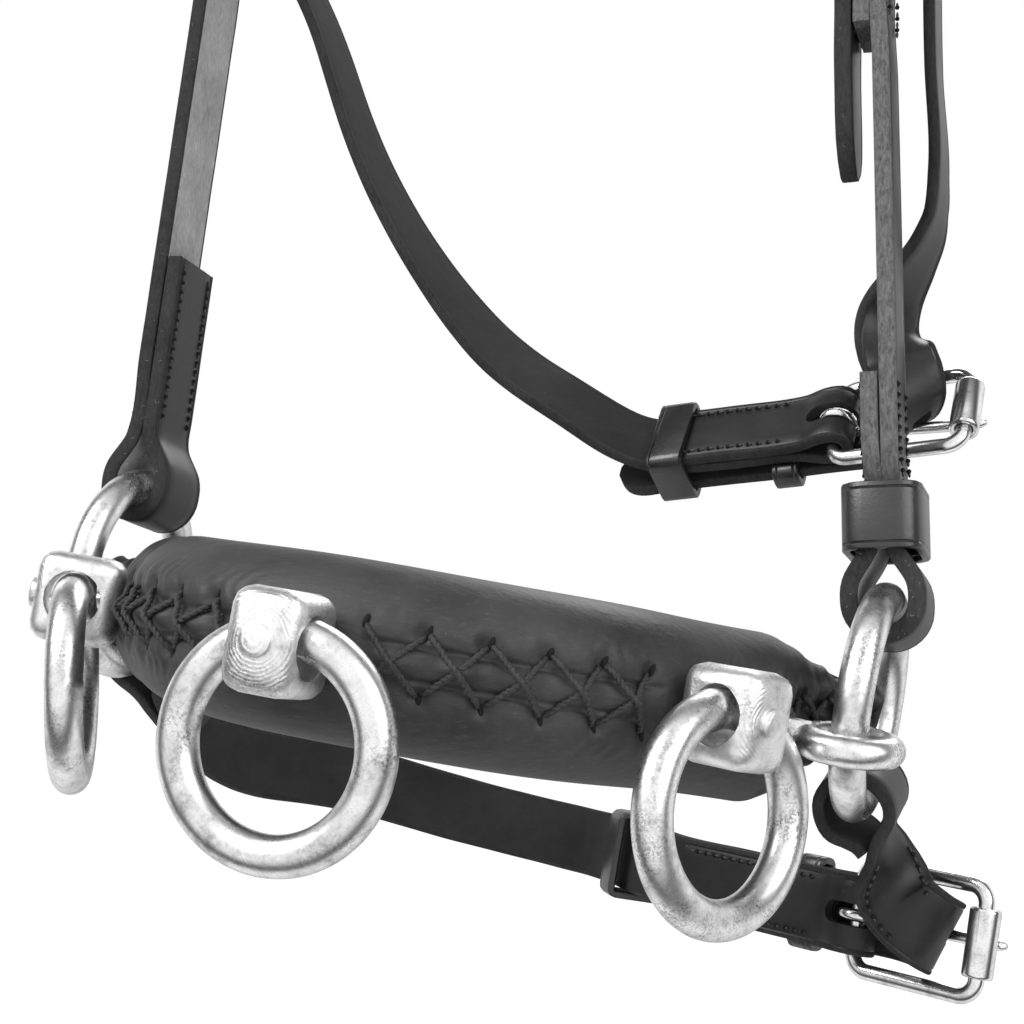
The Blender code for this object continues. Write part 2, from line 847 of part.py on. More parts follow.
def make_irons(frame):
    centre = add_object("nose_iron_centre", iron_strip(-iron_joint, iron_joint, 12),
                        dark_iron, frame)
    pieces = []
    for name, side in sides_of_head:
        pieces += make_knuckles(name + "_centre", side, True, frame)
    join(centre, pieces)
    cutters = [tenon_bore("centre", 0.0, frame)]
    for name, side in sides_of_head:
        cutters += make_knuckle_gaps(name + "_centre", side, True, frame)
        cutters.append(joint_relief(name + "_centre", side, True, frame))
    cut(centre, cutters)
    for name, side in sides_of_head:
        iron = add_object("nose_iron_" + name, iron_strip(side * iron_joint, side * iron_reach, 10),
                          dark_iron, frame)
        pieces = make_knuckles(name, side, False, frame)
        pieces.append(add_cutter(name + "_eye", make_eye(side, 0.0), frame))
        pieces.append(add_cutter(name + "_shank", make_eye_shank(side, eye_shank_radius), frame))
        join(iron, pieces)
        cutters = [tenon_bore(name, side * stud_station, frame)]
        cutters += make_knuckle_gaps(name, side, False, frame)
        cut(iron, cutters)
        centre_point = hinge_place(side)
        up = Vector((0.0, 0.0, iron_height / 2.0))
        pin = make_cylinder(centre_point - up, centre_point + up, knuckle_pin_radius, 12)
        add_object("nose_hinge_pin_" + name, pin, bright_steel, frame)


# Studs: rounded blocks with a bore for the ring and a tenon riveted through the iron
def make_studs(frame):
    for name, station in stud_places:
        base = nose_frame(station)
        block = bmesh.new()
        bmesh.ops.create_cube(block, size=1.0)
        depth = stud_front - stud_seat
        block.transform(Matrix.Diagonal((stud_width, depth, stud_height, 1.0)))
        bmesh.ops.bevel(block, geom=block.edges[:], offset=stud_round, segments=3,
                        profile=0.5, affect="EDGES", clamp_overlap=True)
        middle = Matrix.Translation((0.0, -(stud_front + stud_seat) / 2.0, 0.0))
        block.transform(base @ middle)
        stud = add_object("lunge_stud_" + name, block, bright_steel, frame)
        tenon = make_cylinder(base @ Vector((0.0, -stud_seat - depth / 8.0, 0.0)),
                              base @ Vector((0.0, -iron_front + iron_thickness, 0.0)),
                              tenon_radius, 12)
        dot = make_cylinder(base @ Vector((0.0, -stud_front + stud_dot_height, 0.0)),
                            base @ Vector((0.0, -stud_front - stud_dot_height, 0.0)),
                            stud_dot_radius, 12)
        join(stud, [add_cutter(name + "_tenon", tenon, frame),
                    add_cutter(name + "_dot", dot, frame)])
        half = stud_width / 2.0 + cut_overrun
        bore = make_cylinder(base @ Vector((-half, -stud_bore_reach, 0.0)),
                             base @ Vector((half, -stud_bore_reach, 0.0)),
                             stud_bore_radius, 20)
        cut(stud, [add_cutter(name + "_ring_bore", bore, frame)])


def ring_lift(lean):
    # Centres the curved bar in the bore of its stud
    mouth = stud_width / 2.0 + ring_radius * sin(lean)
    chord = sqrt(ring_radius ** 2 - mouth ** 2)
    top = ring_radius * cos(lean) - chord + ring_bar_radius * ring_radius / chord
    bottom = ring_radius * cos(lean) - ring_radius - ring_bar_radius
    return (top + bottom) / 2.0


def make_lunge_rings(nose):
    down = nose.matrix_world.to_3x3().inverted() @ Vector((0.0, 0.0, -1.0))
    leans = {"centre": ring_lean_centre, "near": ring_lean_near, "off": ring_lean_off}
    for name, station in stud_places:
        base = nose_frame(station)
        axis = base.to_3x3() @ Vector((1.0, 0.0, 0.0))
        centre = base @ Vector((0.0, -stud_bore_reach, 0.0))
        hang = (down - axis * down.dot(axis)).normalized()
        out = axis.cross(hang)
        lean = leans[name]
        toward = hang * cos(lean) + axis * sin(lean)
        lift = -hang * ring_lift(abs(lean))
        matrix = Matrix((axis, out, -hang)).transposed().to_4x4()
        matrix.translation = centre
        pivot = add_frame("lunge_ring_axis_" + name, matrix, nose)
        inverse = matrix.inverted()
        ring_centre = inverse @ (centre + toward * ring_radius + lift)
        normal = inverse.to_3x3() @ out
        start = inverse.to_3x3() @ -toward
        ring = make_torus(ring_centre, normal, start, ring_radius, ring_bar_radius)
        add_object("lunge_ring_" + name, ring, bright_steel, pivot)


def make_cheek_rings(frame):
    for name, side in sides_of_head:
        centre = Vector((side * cheek_ring_half_span, 0.0, 0.0))
        pivot = add_frame("cheek_ring_axis_" + name, Matrix.Translation(centre), frame)
        ring = make_torus(Vector(), Vector((1.0, 0.0, 0.0)), Vector((0.0, 0.0, 1.0)),
                          cheek_ring_radius, cheek_ring_bar)
        add_object("cheek_ring_" + name, ring, bright_steel, pivot)


def joint_relief(prefix, side, middle, frame):
    # Trims the centre iron's plate back from the side iron's plate at the hinge
    matrix = nose_frame(side * iron_joint)
    shape = bmesh.new()
    bmesh.ops.create_cube(shape, size=1.0)
    shape.transform(Matrix.Diagonal((iron_gap * 2.0, iron_thickness * 2.0, iron_height * 2.0, 1.0)))
    centre = Matrix.Translation((side * knuckle_radius * 2.0, -iron_front + iron_thickness / 2.0, 0.0))
    shape.transform(matrix @ centre)
    return add_cutter(prefix + "_relief", shape, frame)


# Straps of the headpiece
def ring_seat(nose, side, toward, loop_radius, thickness):
    # Middle of a strap's loop hung on a cheek ring, whose bar bends away under the strap
    turn = nose.to_3x3()
    axis = turn @ Vector((1.0, 0.0, 0.0))
    out = (toward - axis * toward.dot(axis)).normalized()
    bar = nose @ Vector((side * cheek_ring_half_span, 0.0, 0.0)) + out * cheek_ring_radius
    half = strap_width / 2.0
    chord = sqrt(cheek_ring_radius ** 2 - half ** 2)
    reach = cheek_ring_radius - chord + cheek_ring_bar * cheek_ring_radius / chord
    inner = loop_radius - thickness / 2.0
    return bar + toward * (inner - reach - leather_gap), axis.cross(out)


def crown_arch():
    # From the off shoulder of the arch, over the poll, to the near shoulder
    half = crown_half_width - crown_flat / 2.0
    across = Vector((0.0, 1.0, 0.0))
    top = cheek_thickness / 2.0
    knots = []
    steps = 6
    for i in range(steps + 1):
        turn = 0.5 * pi * i / steps
        x = -crown_flat / 2.0 - half * cos(turn)
        knots.append((Vector((x, 0.0, top - crown_rise * (1.0 - sin(turn)))), across))
    knots.append((Vector((-crown_flat / 4.0, 0.0, top)), across))
    return knots + [(Vector((-p.x, p.y, p.z)), a) for p, a in reversed(knots)]


class Stack:
    # Offsets of the layers of a buckled strap from its spine
    def __init__(self, thickness, wall):
        self.layer = (thickness + leather_gap) / 2.0
        self.heel_loop = wire_radius + leather_gap + thickness / 2.0
        self.over_heel = self.heel_loop + thickness + leather_gap
        self.tail = self.layer + thickness + wall + leather_gap * 2.0
        self.under_roller = roller_radius + leather_gap + thickness / 2.0
        self.between = self.layer + thickness / 2.0 + wall + leather_gap
        self.outside = self.tail + thickness / 2.0 + leather_gap
        self.inside = self.layer + thickness / 2.0 + leather_gap


def window_route(stack, tail_length, side, entry):
    # A billet's way through the window, over the heel bar and along the strap
    route = [(entry, -side * stack.under_roller)]
    route += glide(route[-1], (-heel_neck / 3.0, side * stack.over_heel), 10)
    route.append((stack.heel_loop * loop_hold_share, side * stack.over_heel))
    route += glide(route[-1], (heel_neck, side * stack.tail), 5)
    return route + straight_route(heel_neck, tail_length - tip_length, side * stack.tail)


def cut_slot(strap, spine, station, frame, length, width, depth):
    cutter = make_slot_cutter(strap.name + "_slot", spine.frame(station), length, width,
                              depth, frame)
    cut(strap, [cutter])


def make_headpiece(nose, root):
    stack = Stack(cheek_thickness, 0.0)
    arch = crown_arch()
    near_shoulder, off_shoulder = arch[-1][0], arch[0][0]
    world = nose.matrix_world
    ends = {}
    for name, side in sides_of_head:
        shoulder = near_shoulder if side > 0.0 else off_shoulder
        middle = world @ Vector((side * cheek_ring_half_span, 0.0, 0.0))
        ends[name] = ring_seat(world, side, (shoulder - middle).normalized(),
                               ring_loop_radius, cheek_thickness)
    near_ring, off_ring = ends["near"][0], ends["off"][0]

    heel = near_ring.lerp(near_shoulder, near_cheek_share)
    side = -ends["near"][1]
    cheek = Spine([heel, heel.lerp(near_ring, 0.5), near_ring], [side] * 3)
    top = fold_route(stack.heel_loop, stack.layer, heel_neck, crown_fold, -1.0, 0.0, 1.0)
    bottom = fold_route(ring_loop_radius, stack.layer, ring_neck, cheek_fold_near, -1.0,
                        cheek.length, -1.0)
    bottom.reverse()
    middle = straight_route(heel_neck, cheek.length - ring_neck, stack.layer)
    strap = make_strap("near_cheek_strap", follow(cheek, top + middle[:-1] + bottom),
                       cheek_thickness, root)
    cut_slot(strap, cheek, 0.0, root, slot_length, slot_width, stack.over_heel * 3.0)
    make_buckle("crown", cheek, -1.0, root)

    # Crown strap: off cheek ring, over the poll, through the crown buckle
    side = -ends["off"][1]
    rise = Spine([off_ring, off_ring.lerp(off_shoulder, 0.5), off_shoulder],
                 [side, side, Vector((0.0, 1.0, 0.0))])
    start = fold_route(ring_loop_radius, stack.layer, ring_neck, cheek_fold_off, -1.0, 0.0, 1.0)
    join_start = rise.length - jowl_join_run * 2.0
    start += straight_route(ring_neck, join_start - long_run, stack.layer)
    start += glide(start[-1], (join_start, 0.0), 5)
    start += straight_route(join_start, rise.length, 0.0)
    over = smooth_spine(arch)
    track = follow(rise, start) + list(zip(over.points, over.acrosses))[1:]
    entry = -buckle_length + roller_radius
    leave = -(near_shoulder - heel).length
    down = straight_route(leave, leave + straight_past_fold + jowl_join_run, 0.0)
    down += glide(down[-1], (-buckle_length - roller_radius, stack.under_roller), 6)
    down += window_route(stack, crown_tail, -1.0, entry)
    track += follow(cheek, down)
    strap = make_strap("crown_strap", track, cheek_thickness, root, True)
    hole = make_slot_cutter("crown_billet_hole", cheek.frame(-buckle_length * hole_share),
                            billet_hole_length, billet_hole_width, stack.over_heel * 3.0, root)
    cut(strap, [hole])

    # The round keeper that stands on the loop of the near cheek
    station = cheek.length - cheek_keeper_station
    half = cheek_keeper_width / 2.0
    slide = add_frame("cheek_keeper_slide", cheek.frame(station), root)
    make_keeper("near_cheek_keeper", Matrix.Identity(4), cheek_keeper_length, half,
                -cheek_keeper_depth / 2.0, cheek_keeper_depth / 2.0, cheek_keeper_corner, slide)
    return cheek, rise


def strap_axes(yaw, pitch, bank):
    # x from the heel bar to the roller, y across the strap
    turn = Matrix.Rotation(yaw, 3, "Z") @ Matrix.Rotation(-pitch, 3, "Y")
    return turn @ Matrix.Rotation(bank, 3, "X")


def host_point(spine, station, across_offset, offset):
    point, along, across, face = spine.at(station)
    return point + across * across_offset + face * offset


def host_side(spine, shares):
    point, along, across, face = spine.at(0.0)
    return (along * shares[0] + across * shares[1] + face * shares[2]).normalized()


def make_buckled_end(prefix, spine, stack, fixed_station, running_station, frame):
    # The fixed keeper goes round the billet alone, with its inner side on the strap
    make_buckle(prefix, spine, 1.0, frame)
    half = strap_width / 2.0 + leather_gap
    make_keeper(prefix + "_fixed_keeper", spine.frame(fixed_station),
                fixed_keeper_length, half, stack.between, stack.outside, keeper_corner, frame)
    slide = add_frame(prefix + "_keeper_slide", spine.frame(running_station), frame)
    make_keeper(prefix + "_running_keeper", Matrix.Identity(4), keeper_length, half,
                -stack.inside, stack.outside, keeper_corner, slide)


def make_jowl(root, cheek, rise):
    stack = Stack(strap_thickness, keeper_wall)
    axes = strap_axes(jowl_yaw, jowl_pitch, jowl_bank)
    heel = Vector((jowl_heel_x, jowl_heel_y, jowl_heel_z))
    away = -(axes @ Vector((1.0, 0.0, 0.0)))
    across = axes @ Vector((0.0, 1.0, 0.0))
    knots = [(heel, across), (heel + away * jowl_fold / 2.0, across),
             (heel + away * jowl_fold, across),
             (heel + away * (jowl_fold + straight_past_fold), across)]
    join_station = rise.length - jowl_join_run
    seat = (cheek_thickness + strap_thickness) / 2.0 + leather_gap
    end = rise.place(join_station, -seat)
    span, height = heel.x - end.x, end.z - heel.z
    for x, y, z, lean in jowl_route_shares:
        place = Vector((heel.x - span * x, heel.y + jowl_belly * y, heel.z + height * z))
        knots.append((place, across.lerp(Vector((0.0, 1.0, 0.0)), lean)))
    below = rise.place(join_station - jowl_join_run, -seat)
    knots.append((below, rise.at(join_station)[2]))
    knots.append((below.lerp(end, 0.5), None))
    knots.append((end, rise.at(join_station)[2]))
    spine = smooth_spine(knots)
    route = fold_route(stack.heel_loop, stack.layer, heel_neck, jowl_fold, -1.0, 0.0, 1.0)
    route += straight_route(heel_neck, jowl_tail, stack.layer)
    route += glide(route[-1], (jowl_tail + long_run, 0.0), 5)
    route += straight_route(route[-1][0], spine.length, 0.0)
    strap = make_strap("jowl_strap", follow(spine, route), strap_thickness, root)
    cut_slot(strap, spine, 0.0, root, slot_length, slot_width, stack.over_heel * 3.0)
    make_buckled_end("jowl", spine, stack, jowl_fixed_station, jowl_running_station, root)

    # Jowl billet: sewn to the crown strap above its buckle, down past it to the jowl buckle
    seat = (cheek_thickness + strap_thickness) / 2.0 + leather_gap
    top_station = -(cheek.points[0] - rise_mirror(rise, rise.length - straight_past_fold)).length
    back = cheek.at(0.0)[2]
    knots = [(cheek.place(top_station, seat), back),
             (cheek.place(top_station + jowl_join_run / 2.0, seat), None),
             (cheek.place(top_station + jowl_join_run, seat), back),
             (cheek.place(top_station + jowl_join_run * 1.5, seat + billet_peel), back)]
    for share in billet_hang_shares:
        knots.append((Vector((billet_hang_x, billet_hang_y, jowl_heel_z * share)), back))
    turn, first_side = wrap(spine, stack, jowl_wrap_slant, jowl_wrap_end)
    first, second = turn[0][0], turn[1][0]
    knots.append((first - (second - first).normalized() * billet_lead, None))
    knots.append((first, first_side))
    billet = smooth_spine(knots)
    track = list(zip(billet.points, billet.acrosses))[:-1] + turn
    strap = make_strap("jowl_billet", finish_billet(track, spine, stack, jowl_wrap_end, jowl_tail),
                       strap_thickness, root, True)
    cut_billet_hole(strap, spine, stack, root)


def rise_mirror(rise, station):
    point = rise.at(station)[0]
    return Vector((-point.x, point.y, point.z))


def make_chin(nose):
    stack = Stack(strap_thickness, keeper_wall)
    chin = add_frame("chin_strap_axis", Matrix.Identity(4), nose)
    axes = strap_axes(chin_yaw, chin_pitch, chin_bank)
    heel = Vector((chin_heel_x, chin_heel_y, chin_heel_z))
    away = -(axes @ Vector((1.0, 0.0, 0.0)))
    across = axes @ Vector((0.0, 1.0, 0.0))
    local = Matrix.Identity(4)
    leave = Vector((chin_leave_share, sin(chin_off_angle), -cos(chin_off_angle))).normalized()
    off_end, bar_along = ring_seat(local, -1.0, leave, chin_loop_radius, strap_thickness)
    knots = [(heel, across), (heel + away * chin_fold / 2.0, across),
             (heel + away * chin_fold, across),
             (heel + away * (chin_fold + straight_past_fold), across)]
    for x, y, z in chin_route_shares:
        place = Vector((chin_heel_x * x, chin_back * y, chin_heel_z * z))
        knots.append((place, Vector((0.0, 0.0, 1.0))))
    knots.append((off_end + leave * (chin_off_fold + straight_past_fold), bar_along))
    knots.append((off_end + leave * chin_neck, bar_along))
    knots.append((off_end, bar_along))
    spine = smooth_spine(knots)
    route = fold_route(stack.heel_loop, stack.layer, heel_neck, chin_fold, -1.0, 0.0, 1.0)
    route += straight_route(heel_neck, spine.length - chin_neck, stack.layer)[:-1]
    end = fold_route(chin_loop_radius, stack.layer, chin_neck, chin_off_fold, -1.0,
                     spine.length, -1.0)
    end.reverse()
    strap = make_strap("chin_strap", follow(spine, route + end), strap_thickness, chin)
    cut_slot(strap, spine, 0.0, chin, slot_length, slot_width, stack.over_heel * 3.0)
    make_buckled_end("chin", spine, stack, chin_fixed_station, chin_running_station, chin)

    turn, first_side = wrap(spine, stack, chin_wrap_slant, chin_wrap_end)
    first, second = turn[0][0], turn[1][0]
    seat = first - (second - first).cross(first_side).normalized() * stack.layer
    ring_middle = Vector((cheek_ring_half_span, 0.0, 0.0))
    radial = Vector((0.0, seat.y, seat.z)).normalized()
    leave = (seat - ring_middle - radial * cheek_ring_radius).normalized()
    near_end, bar_along = ring_seat(local, 1.0, leave, chin_loop_radius, strap_thickness)
    knots = [(near_end, bar_along), (near_end + leave * billet_fold, bar_along),
             (seat, first_side)]
    billet = smooth_spine(knots, (second - first).normalized())
    route = fold_route(chin_loop_radius, stack.layer, billet_neck, billet_fold, -1.0, 0.0, 1.0)
    count = 8
    for i in range(1, count + 1):
        route.append((billet_neck + (billet.length - billet_neck) * i / count, stack.layer))
    track = follow(billet, route)[:-1] + turn
    strap = make_strap("chin_billet", finish_billet(track, spine, stack, chin_wrap_end, chin_tail),
                       strap_thickness, chin, True)
    cut_billet_hole(strap, spine, stack, chin)


def wrap(spine, stack, lean, last_station):
    # The half turn of a billet through the window, slanted as a folded ribbon is
    slant = Vector((-sin(lean), cos(lean)))
    flat = Vector((cos(lean), sin(lean)))
    radius = (stack.over_heel + wrap_front) / 2.0
    end = Vector((last_station, 0.0, stack.over_heel))
    climb = climb_share * sin(lean) * radius * pi / cos(lean)
    track = []
    steps = 12
    for i in range(steps + 1):
        turn = pi * (1.0 - i / steps)
        back = -flat * radius * sin(turn) - slant * climb * -turn / pi
        lift = -radius * (1.0 - cos(turn))
        s, a, v = end.x + back.x, back.y, end.z + lift
        tilt = slant * cos(lean) + flat * sin(lean) * cos(turn)
        side = (tilt.x, tilt.y, sin(lean) * sin(turn))
        track.append((host_point(spine, s, a, v), host_side(spine, side)))
    return track, track[0][1]


def finish_billet(track, spine, stack, start, tail_length):
    # Over the heel bar and along the outside of the strap, under the keepers
    route = straight_route(start, -heel_neck / 3.0, stack.over_heel)
    route.append((stack.heel_loop * loop_hold_share, stack.over_heel))
    route += glide(route[-1], (heel_neck, stack.tail), 5)
    route += straight_route(heel_neck, tail_length - tip_length, stack.tail)
    return track + follow(spine, route)


def cut_billet_hole(strap, spine, stack, frame):
    place = spine.frame(-buckle_length * hole_share, stack.over_heel)
    hole = make_slot_cutter(strap.name + "_hole", place, billet_hole_length,
                            billet_hole_width, stack.over_heel * 1.7, frame)
    cut(strap, [hole])


def main():
    clear_scene()
    root = add_frame("headpiece_frame", Matrix.Identity(4))
    turn = Matrix.Rotation(nose_roll, 4, "Y") @ Matrix.Rotation(nose_pitch, 4, "X")
    seat = Matrix.Translation((-nose_offset, -crown_set_back, -nose_drop))
    nose = add_frame("noseband_axis", seat @ turn, root)
    make_cover(nose)
    make_padding(nose)
    make_irons(nose)
    make_studs(nose)
    make_lunge_rings(nose)
    make_cheek_rings(nose)
    cheek, rise = make_headpiece(nose, root)
    make_jowl(root, cheek, rise)
    make_chin(nose)


main()
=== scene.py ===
import json
import math
import random
from collections import defaultdict

import bmesh
import bpy
import numpy as np
from mathutils import Matrix, Vector
from mathutils.bvhtree import BVHTree

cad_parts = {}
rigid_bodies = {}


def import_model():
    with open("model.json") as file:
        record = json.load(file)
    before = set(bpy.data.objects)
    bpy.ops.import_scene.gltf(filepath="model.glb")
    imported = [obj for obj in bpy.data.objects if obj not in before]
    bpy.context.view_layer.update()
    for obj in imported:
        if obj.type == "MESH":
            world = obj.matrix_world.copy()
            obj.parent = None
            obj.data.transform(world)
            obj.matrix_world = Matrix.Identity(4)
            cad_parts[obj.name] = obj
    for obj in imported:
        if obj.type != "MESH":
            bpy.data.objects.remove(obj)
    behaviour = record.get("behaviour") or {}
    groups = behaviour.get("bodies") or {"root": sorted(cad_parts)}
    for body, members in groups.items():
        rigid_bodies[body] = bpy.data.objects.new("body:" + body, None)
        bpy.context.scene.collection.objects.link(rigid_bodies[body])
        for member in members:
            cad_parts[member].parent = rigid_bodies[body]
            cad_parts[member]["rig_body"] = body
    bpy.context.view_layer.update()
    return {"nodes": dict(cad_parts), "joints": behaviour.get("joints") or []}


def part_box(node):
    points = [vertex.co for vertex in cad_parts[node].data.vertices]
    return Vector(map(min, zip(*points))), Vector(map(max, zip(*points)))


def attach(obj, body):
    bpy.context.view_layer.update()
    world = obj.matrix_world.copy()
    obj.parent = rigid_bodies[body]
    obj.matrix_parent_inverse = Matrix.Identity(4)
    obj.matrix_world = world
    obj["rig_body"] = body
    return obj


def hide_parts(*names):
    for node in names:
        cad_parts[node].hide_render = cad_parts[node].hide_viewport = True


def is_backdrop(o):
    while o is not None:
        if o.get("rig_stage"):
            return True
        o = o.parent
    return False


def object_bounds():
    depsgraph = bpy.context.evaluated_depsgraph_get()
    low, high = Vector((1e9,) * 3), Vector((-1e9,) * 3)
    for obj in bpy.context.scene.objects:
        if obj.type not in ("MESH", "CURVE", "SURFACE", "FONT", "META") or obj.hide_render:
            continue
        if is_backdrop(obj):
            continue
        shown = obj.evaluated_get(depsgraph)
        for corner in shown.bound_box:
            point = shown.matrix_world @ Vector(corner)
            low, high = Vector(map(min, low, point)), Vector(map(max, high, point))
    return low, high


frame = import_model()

print("stage: frame loaded")

nodes = frame["nodes"]
joints = {j["name"]: j for j in frame["joints"]}
bodyOf = {name: nodes[name]["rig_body"] for name in nodes}


# node trees
def feed(tree, node, inputs):
    # Each input gets a value, or a link where a socket is given
    for key, value in inputs.items():
        if isinstance(value, bpy.types.NodeSocket):
            tree.links.new(value, node.inputs[key])
        else:
            node.inputs[key].default_value = value


def add(tree, kind, inputs, **settings):
    node = tree.nodes.new(kind)
    for key, value in settings.items():
        setattr(node, key, value)
    feed(tree, node, inputs)
    return node


def newMaterial(name):
    material = bpy.data.materials.new(name)
    material.use_nodes = True
    tree = material.node_tree
    return material, tree, tree.nodes["Principled BSDF"]


def objectCoords(tree, scale=(1.0, 1.0, 1.0), place=(0.0, 0.0, 0.0)):
    coords = add(tree, "ShaderNodeTexCoord", {})
    return add(tree, "ShaderNodeMapping", {"Vector": coords.outputs["Object"], "Scale": scale,
                                           "Location": place}).outputs["Vector"]


def noise(tree, vector, scale, detail=4.0, rough=0.55):
    return add(tree, "ShaderNodeTexNoise", {"Vector": vector, "Scale": scale, "Detail": detail,
                                            "Roughness": rough}).outputs["Fac"]


def ramp(tree, value, stops):
    node = add(tree, "ShaderNodeValToRGB", {"Fac": value})
    band = node.color_ramp
    while len(band.elements) < len(stops):
        band.elements.new(0.5)
    for element, (place, grey) in zip(band.elements, stops):
        element.position = place
        element.color = (grey, grey, grey, 1.0)
    return node.outputs["Color"]


def mixColours(tree, a, b, factor, kind="MIX"):
    return add(tree, "ShaderNodeMix", {0: factor, 6: a, 7: b}, data_type="RGBA", blend_type=kind).outputs[2]


def bump(tree, height, strength, distance, under=None):
    inputs = {"Strength": strength, "Distance": distance, "Height": height}
    if under is not None:
        inputs["Normal"] = under
    return add(tree, "ShaderNodeBump", inputs).outputs["Normal"]


def mapped(tree, value, start, end):
    inputs = {"Value": value, "From Min": start, "From Max": end}
    return add(tree, "ShaderNodeMapRange", inputs).outputs["Result"]


def alongAxis(tree, vector, axis):
    return add(tree, "ShaderNodeVectorMath", {0: vector, 1: axis}, operation="DOT_PRODUCT").outputs["Value"]


# materials
leatherLook = {"dark": 0.009, "light": 0.026, "patchScale": 28.0, "speck": 0.10, "speckScale": 900.0,
               "speckShare": 0.6, "wear": 0.08, "wearScale": 900.0, "wearStretch": (0.2, 0.6, 1.5),
               "smoother": 0.07, "roughness": 0.40, "rougher": 0.10, "shine": 0.5,
               "poreScale": 1500.0, "poreStrength": 0.16, "poreDepth": 0.00012,
               "creases": 0.35, "creaseScale": 160.0, "creaseStretch": (0.35, 1.0, 1.3),
               "creaseDepth": 0.0005}


def grainLeather(name, **changes):
    look = dict(leatherLook, **changes)
    material, tree, shader = newMaterial(name)
    place = objectCoords(tree)
    patches = noise(tree, place, look["patchScale"], 5.0, 0.6)
    fine = noise(tree, place, look["speckScale"], 3.0, 0.7)
    streaks = noise(tree, objectCoords(tree, look["wearStretch"]), look["wearScale"], 6.0, 0.8)
    wrinkles = noise(tree, objectCoords(tree, look["creaseStretch"]), look["creaseScale"], 6.0, 0.65)
    base = ramp(tree, patches, [(0.32, look["dark"]), (0.68, look["light"])])
    specks = ramp(tree, fine, [(0.0, 0.0), (0.70, 0.0), (0.80, look["speck"])])
    worn = ramp(tree, streaks, [(0.0, 0.0), (0.54, 0.0), (0.74, look["speck"])])
    flecked = mixColours(tree, base, specks, look["speckShare"], "ADD")
    pits = add(tree, "ShaderNodeTexVoronoi", {"Vector": place, "Scale": look["poreScale"]})
    pores = bump(tree, pits.outputs["Distance"], look["poreStrength"], look["poreDepth"])
    roughness = [(0.25, look["roughness"] - look["smoother"]), (0.75, look["roughness"] + look["rougher"])]
    feed(tree, shader, {"Base Color": mixColours(tree, flecked, worn, look["wear"], "ADD"),
                        "Roughness": ramp(tree, patches, roughness),
                        "Specular IOR Level": look["shine"],
                        "Normal": bump(tree, wrinkles, look["creases"], look["creaseDepth"], pores)})
    return material


fleshLook = {"dark": 0.20, "light": 0.42, "fibreScale": 1100.0, "fibreStretch": (1.0, 1.0, 0.35),
             "patchScale": 70.0, "patchShare": 0.45, "roughness": 0.86, "shine": 0.2, "depth": 0.0004}


def fleshLeather(name, worn=None, **changes):
    look = dict(fleshLook, **changes)
    material, tree, shader = newMaterial(name)
    place = objectCoords(tree)
    fibres = noise(tree, objectCoords(tree, look["fibreStretch"]), look["fibreScale"], 6.0, 0.75)
    patches = noise(tree, place, look["patchScale"], 5.0, 0.6)
    fibreShade = ramp(tree, fibres, [(0.30, look["dark"] * 0.6), (0.72, look["light"])])
    patchShade = ramp(tree, patches, [(0.30, look["dark"]), (0.70, look["light"])])
    shade = mixColours(tree, fibreShade, patchShade, look["patchShare"])
    if worn is not None:
        height = add(tree, "ShaderNodeSeparateXYZ", {0: place}).outputs["Z"]
        paleShade = ramp(tree, fibres, [(0.30, worn["dark"]), (0.72, worn["light"])])
        shade = mixColours(tree, shade, paleShade, mapped(tree, height, worn["from"], worn["to"]))
    feed(tree, shader, {"Base Color": shade, "Roughness": look["roughness"],
                        "Specular IOR Level": look["shine"],
                        "Normal": bump(tree, fibres, 0.5, look["depth"])})
    return material


# The steel's streak value sets how dark its painted reflection streaks get: dark surroundings mirrored in the
# bars, put into the colour
steelLook = {"mottleScale": 130.0, "grainScale": 1300.0, "patchScale": 55.0, "streak": 0.5, "grain": 0.22,
             "grainDepth": 0.00018, "mottleDepth": 0.0004, "rough": 0.24, "rougher": 0.14,
             "ringScale": 340.0, "ringWobble": 3.0, "ringStrength": 0.28, "frontStart": -0.0024,
             "frontEnd": -0.0012}


def turnedMarks(tree, spot, outward, look, under):
    # Rings round the middle of a stud's face, and none on its sides
    away = objectCoords(tree, place=tuple(-c for c in spot))
    turned = add(tree, "ShaderNodeTexWave", {"Vector": away, "Scale": look["ringScale"],
                                             "Distortion": look["ringWobble"]},
                 wave_type="RINGS", rings_direction="SPHERICAL")
    front = mapped(tree, alongAxis(tree, away, outward), look["frontStart"], look["frontEnd"])
    marks = add(tree, "ShaderNodeMath", {0: front, 1: turned.outputs["Fac"]}, operation="MULTIPLY")
    return bump(tree, marks.outputs[0], look["ringStrength"], look["grainDepth"], under)


def platedSteel(name, rings=None, **changes):
    look = dict(steelLook, **changes)
    material, tree, shader = newMaterial(name)
    place = objectCoords(tree)
    mottle = noise(tree, place, look["mottleScale"], 8.0, 0.72)
    grains = noise(tree, place, look["grainScale"], 4.0, 0.8)
    patches = noise(tree, place, look["patchScale"], 6.0, 0.7)
    # The mottled base colour is partly grain and partly painted reflection; the dark streaks mixed in below
    # are painted reflection of dark surroundings
    base = ramp(tree, mottle, [(0.32, 0.42), (0.45, 0.76), (0.58, 0.93)])
    flecks = ramp(tree, grains, [(0.42, 0.22), (0.54, 1.0)])
    worn = ramp(tree, patches, [(0.36, look["streak"]), (0.52, look["streak"] * 0.10)])
    dark = mixColours(tree, base, flecks, 1.0, "MULTIPLY")
    height = bump(tree, grains, look["grain"], look["grainDepth"],
                  bump(tree, mottle, look["grain"], look["mottleDepth"]))
    if rings is not None:
        height = turnedMarks(tree, *rings, look, height)
    roughness = ramp(tree, mottle, [(0.30, look["rough"] + look["rougher"]), (0.66, look["rough"])])
    feed(tree, shader, {"Base Color": mixColours(tree, base, dark, worn), "Metallic": 1.0,
                        "Roughness": roughness, "Normal": height})
    return material


threadLook = {"dark": 0.018, "light": 0.070, "scale": 2200.0, "roughness": 0.7, "depth": 0.0002}


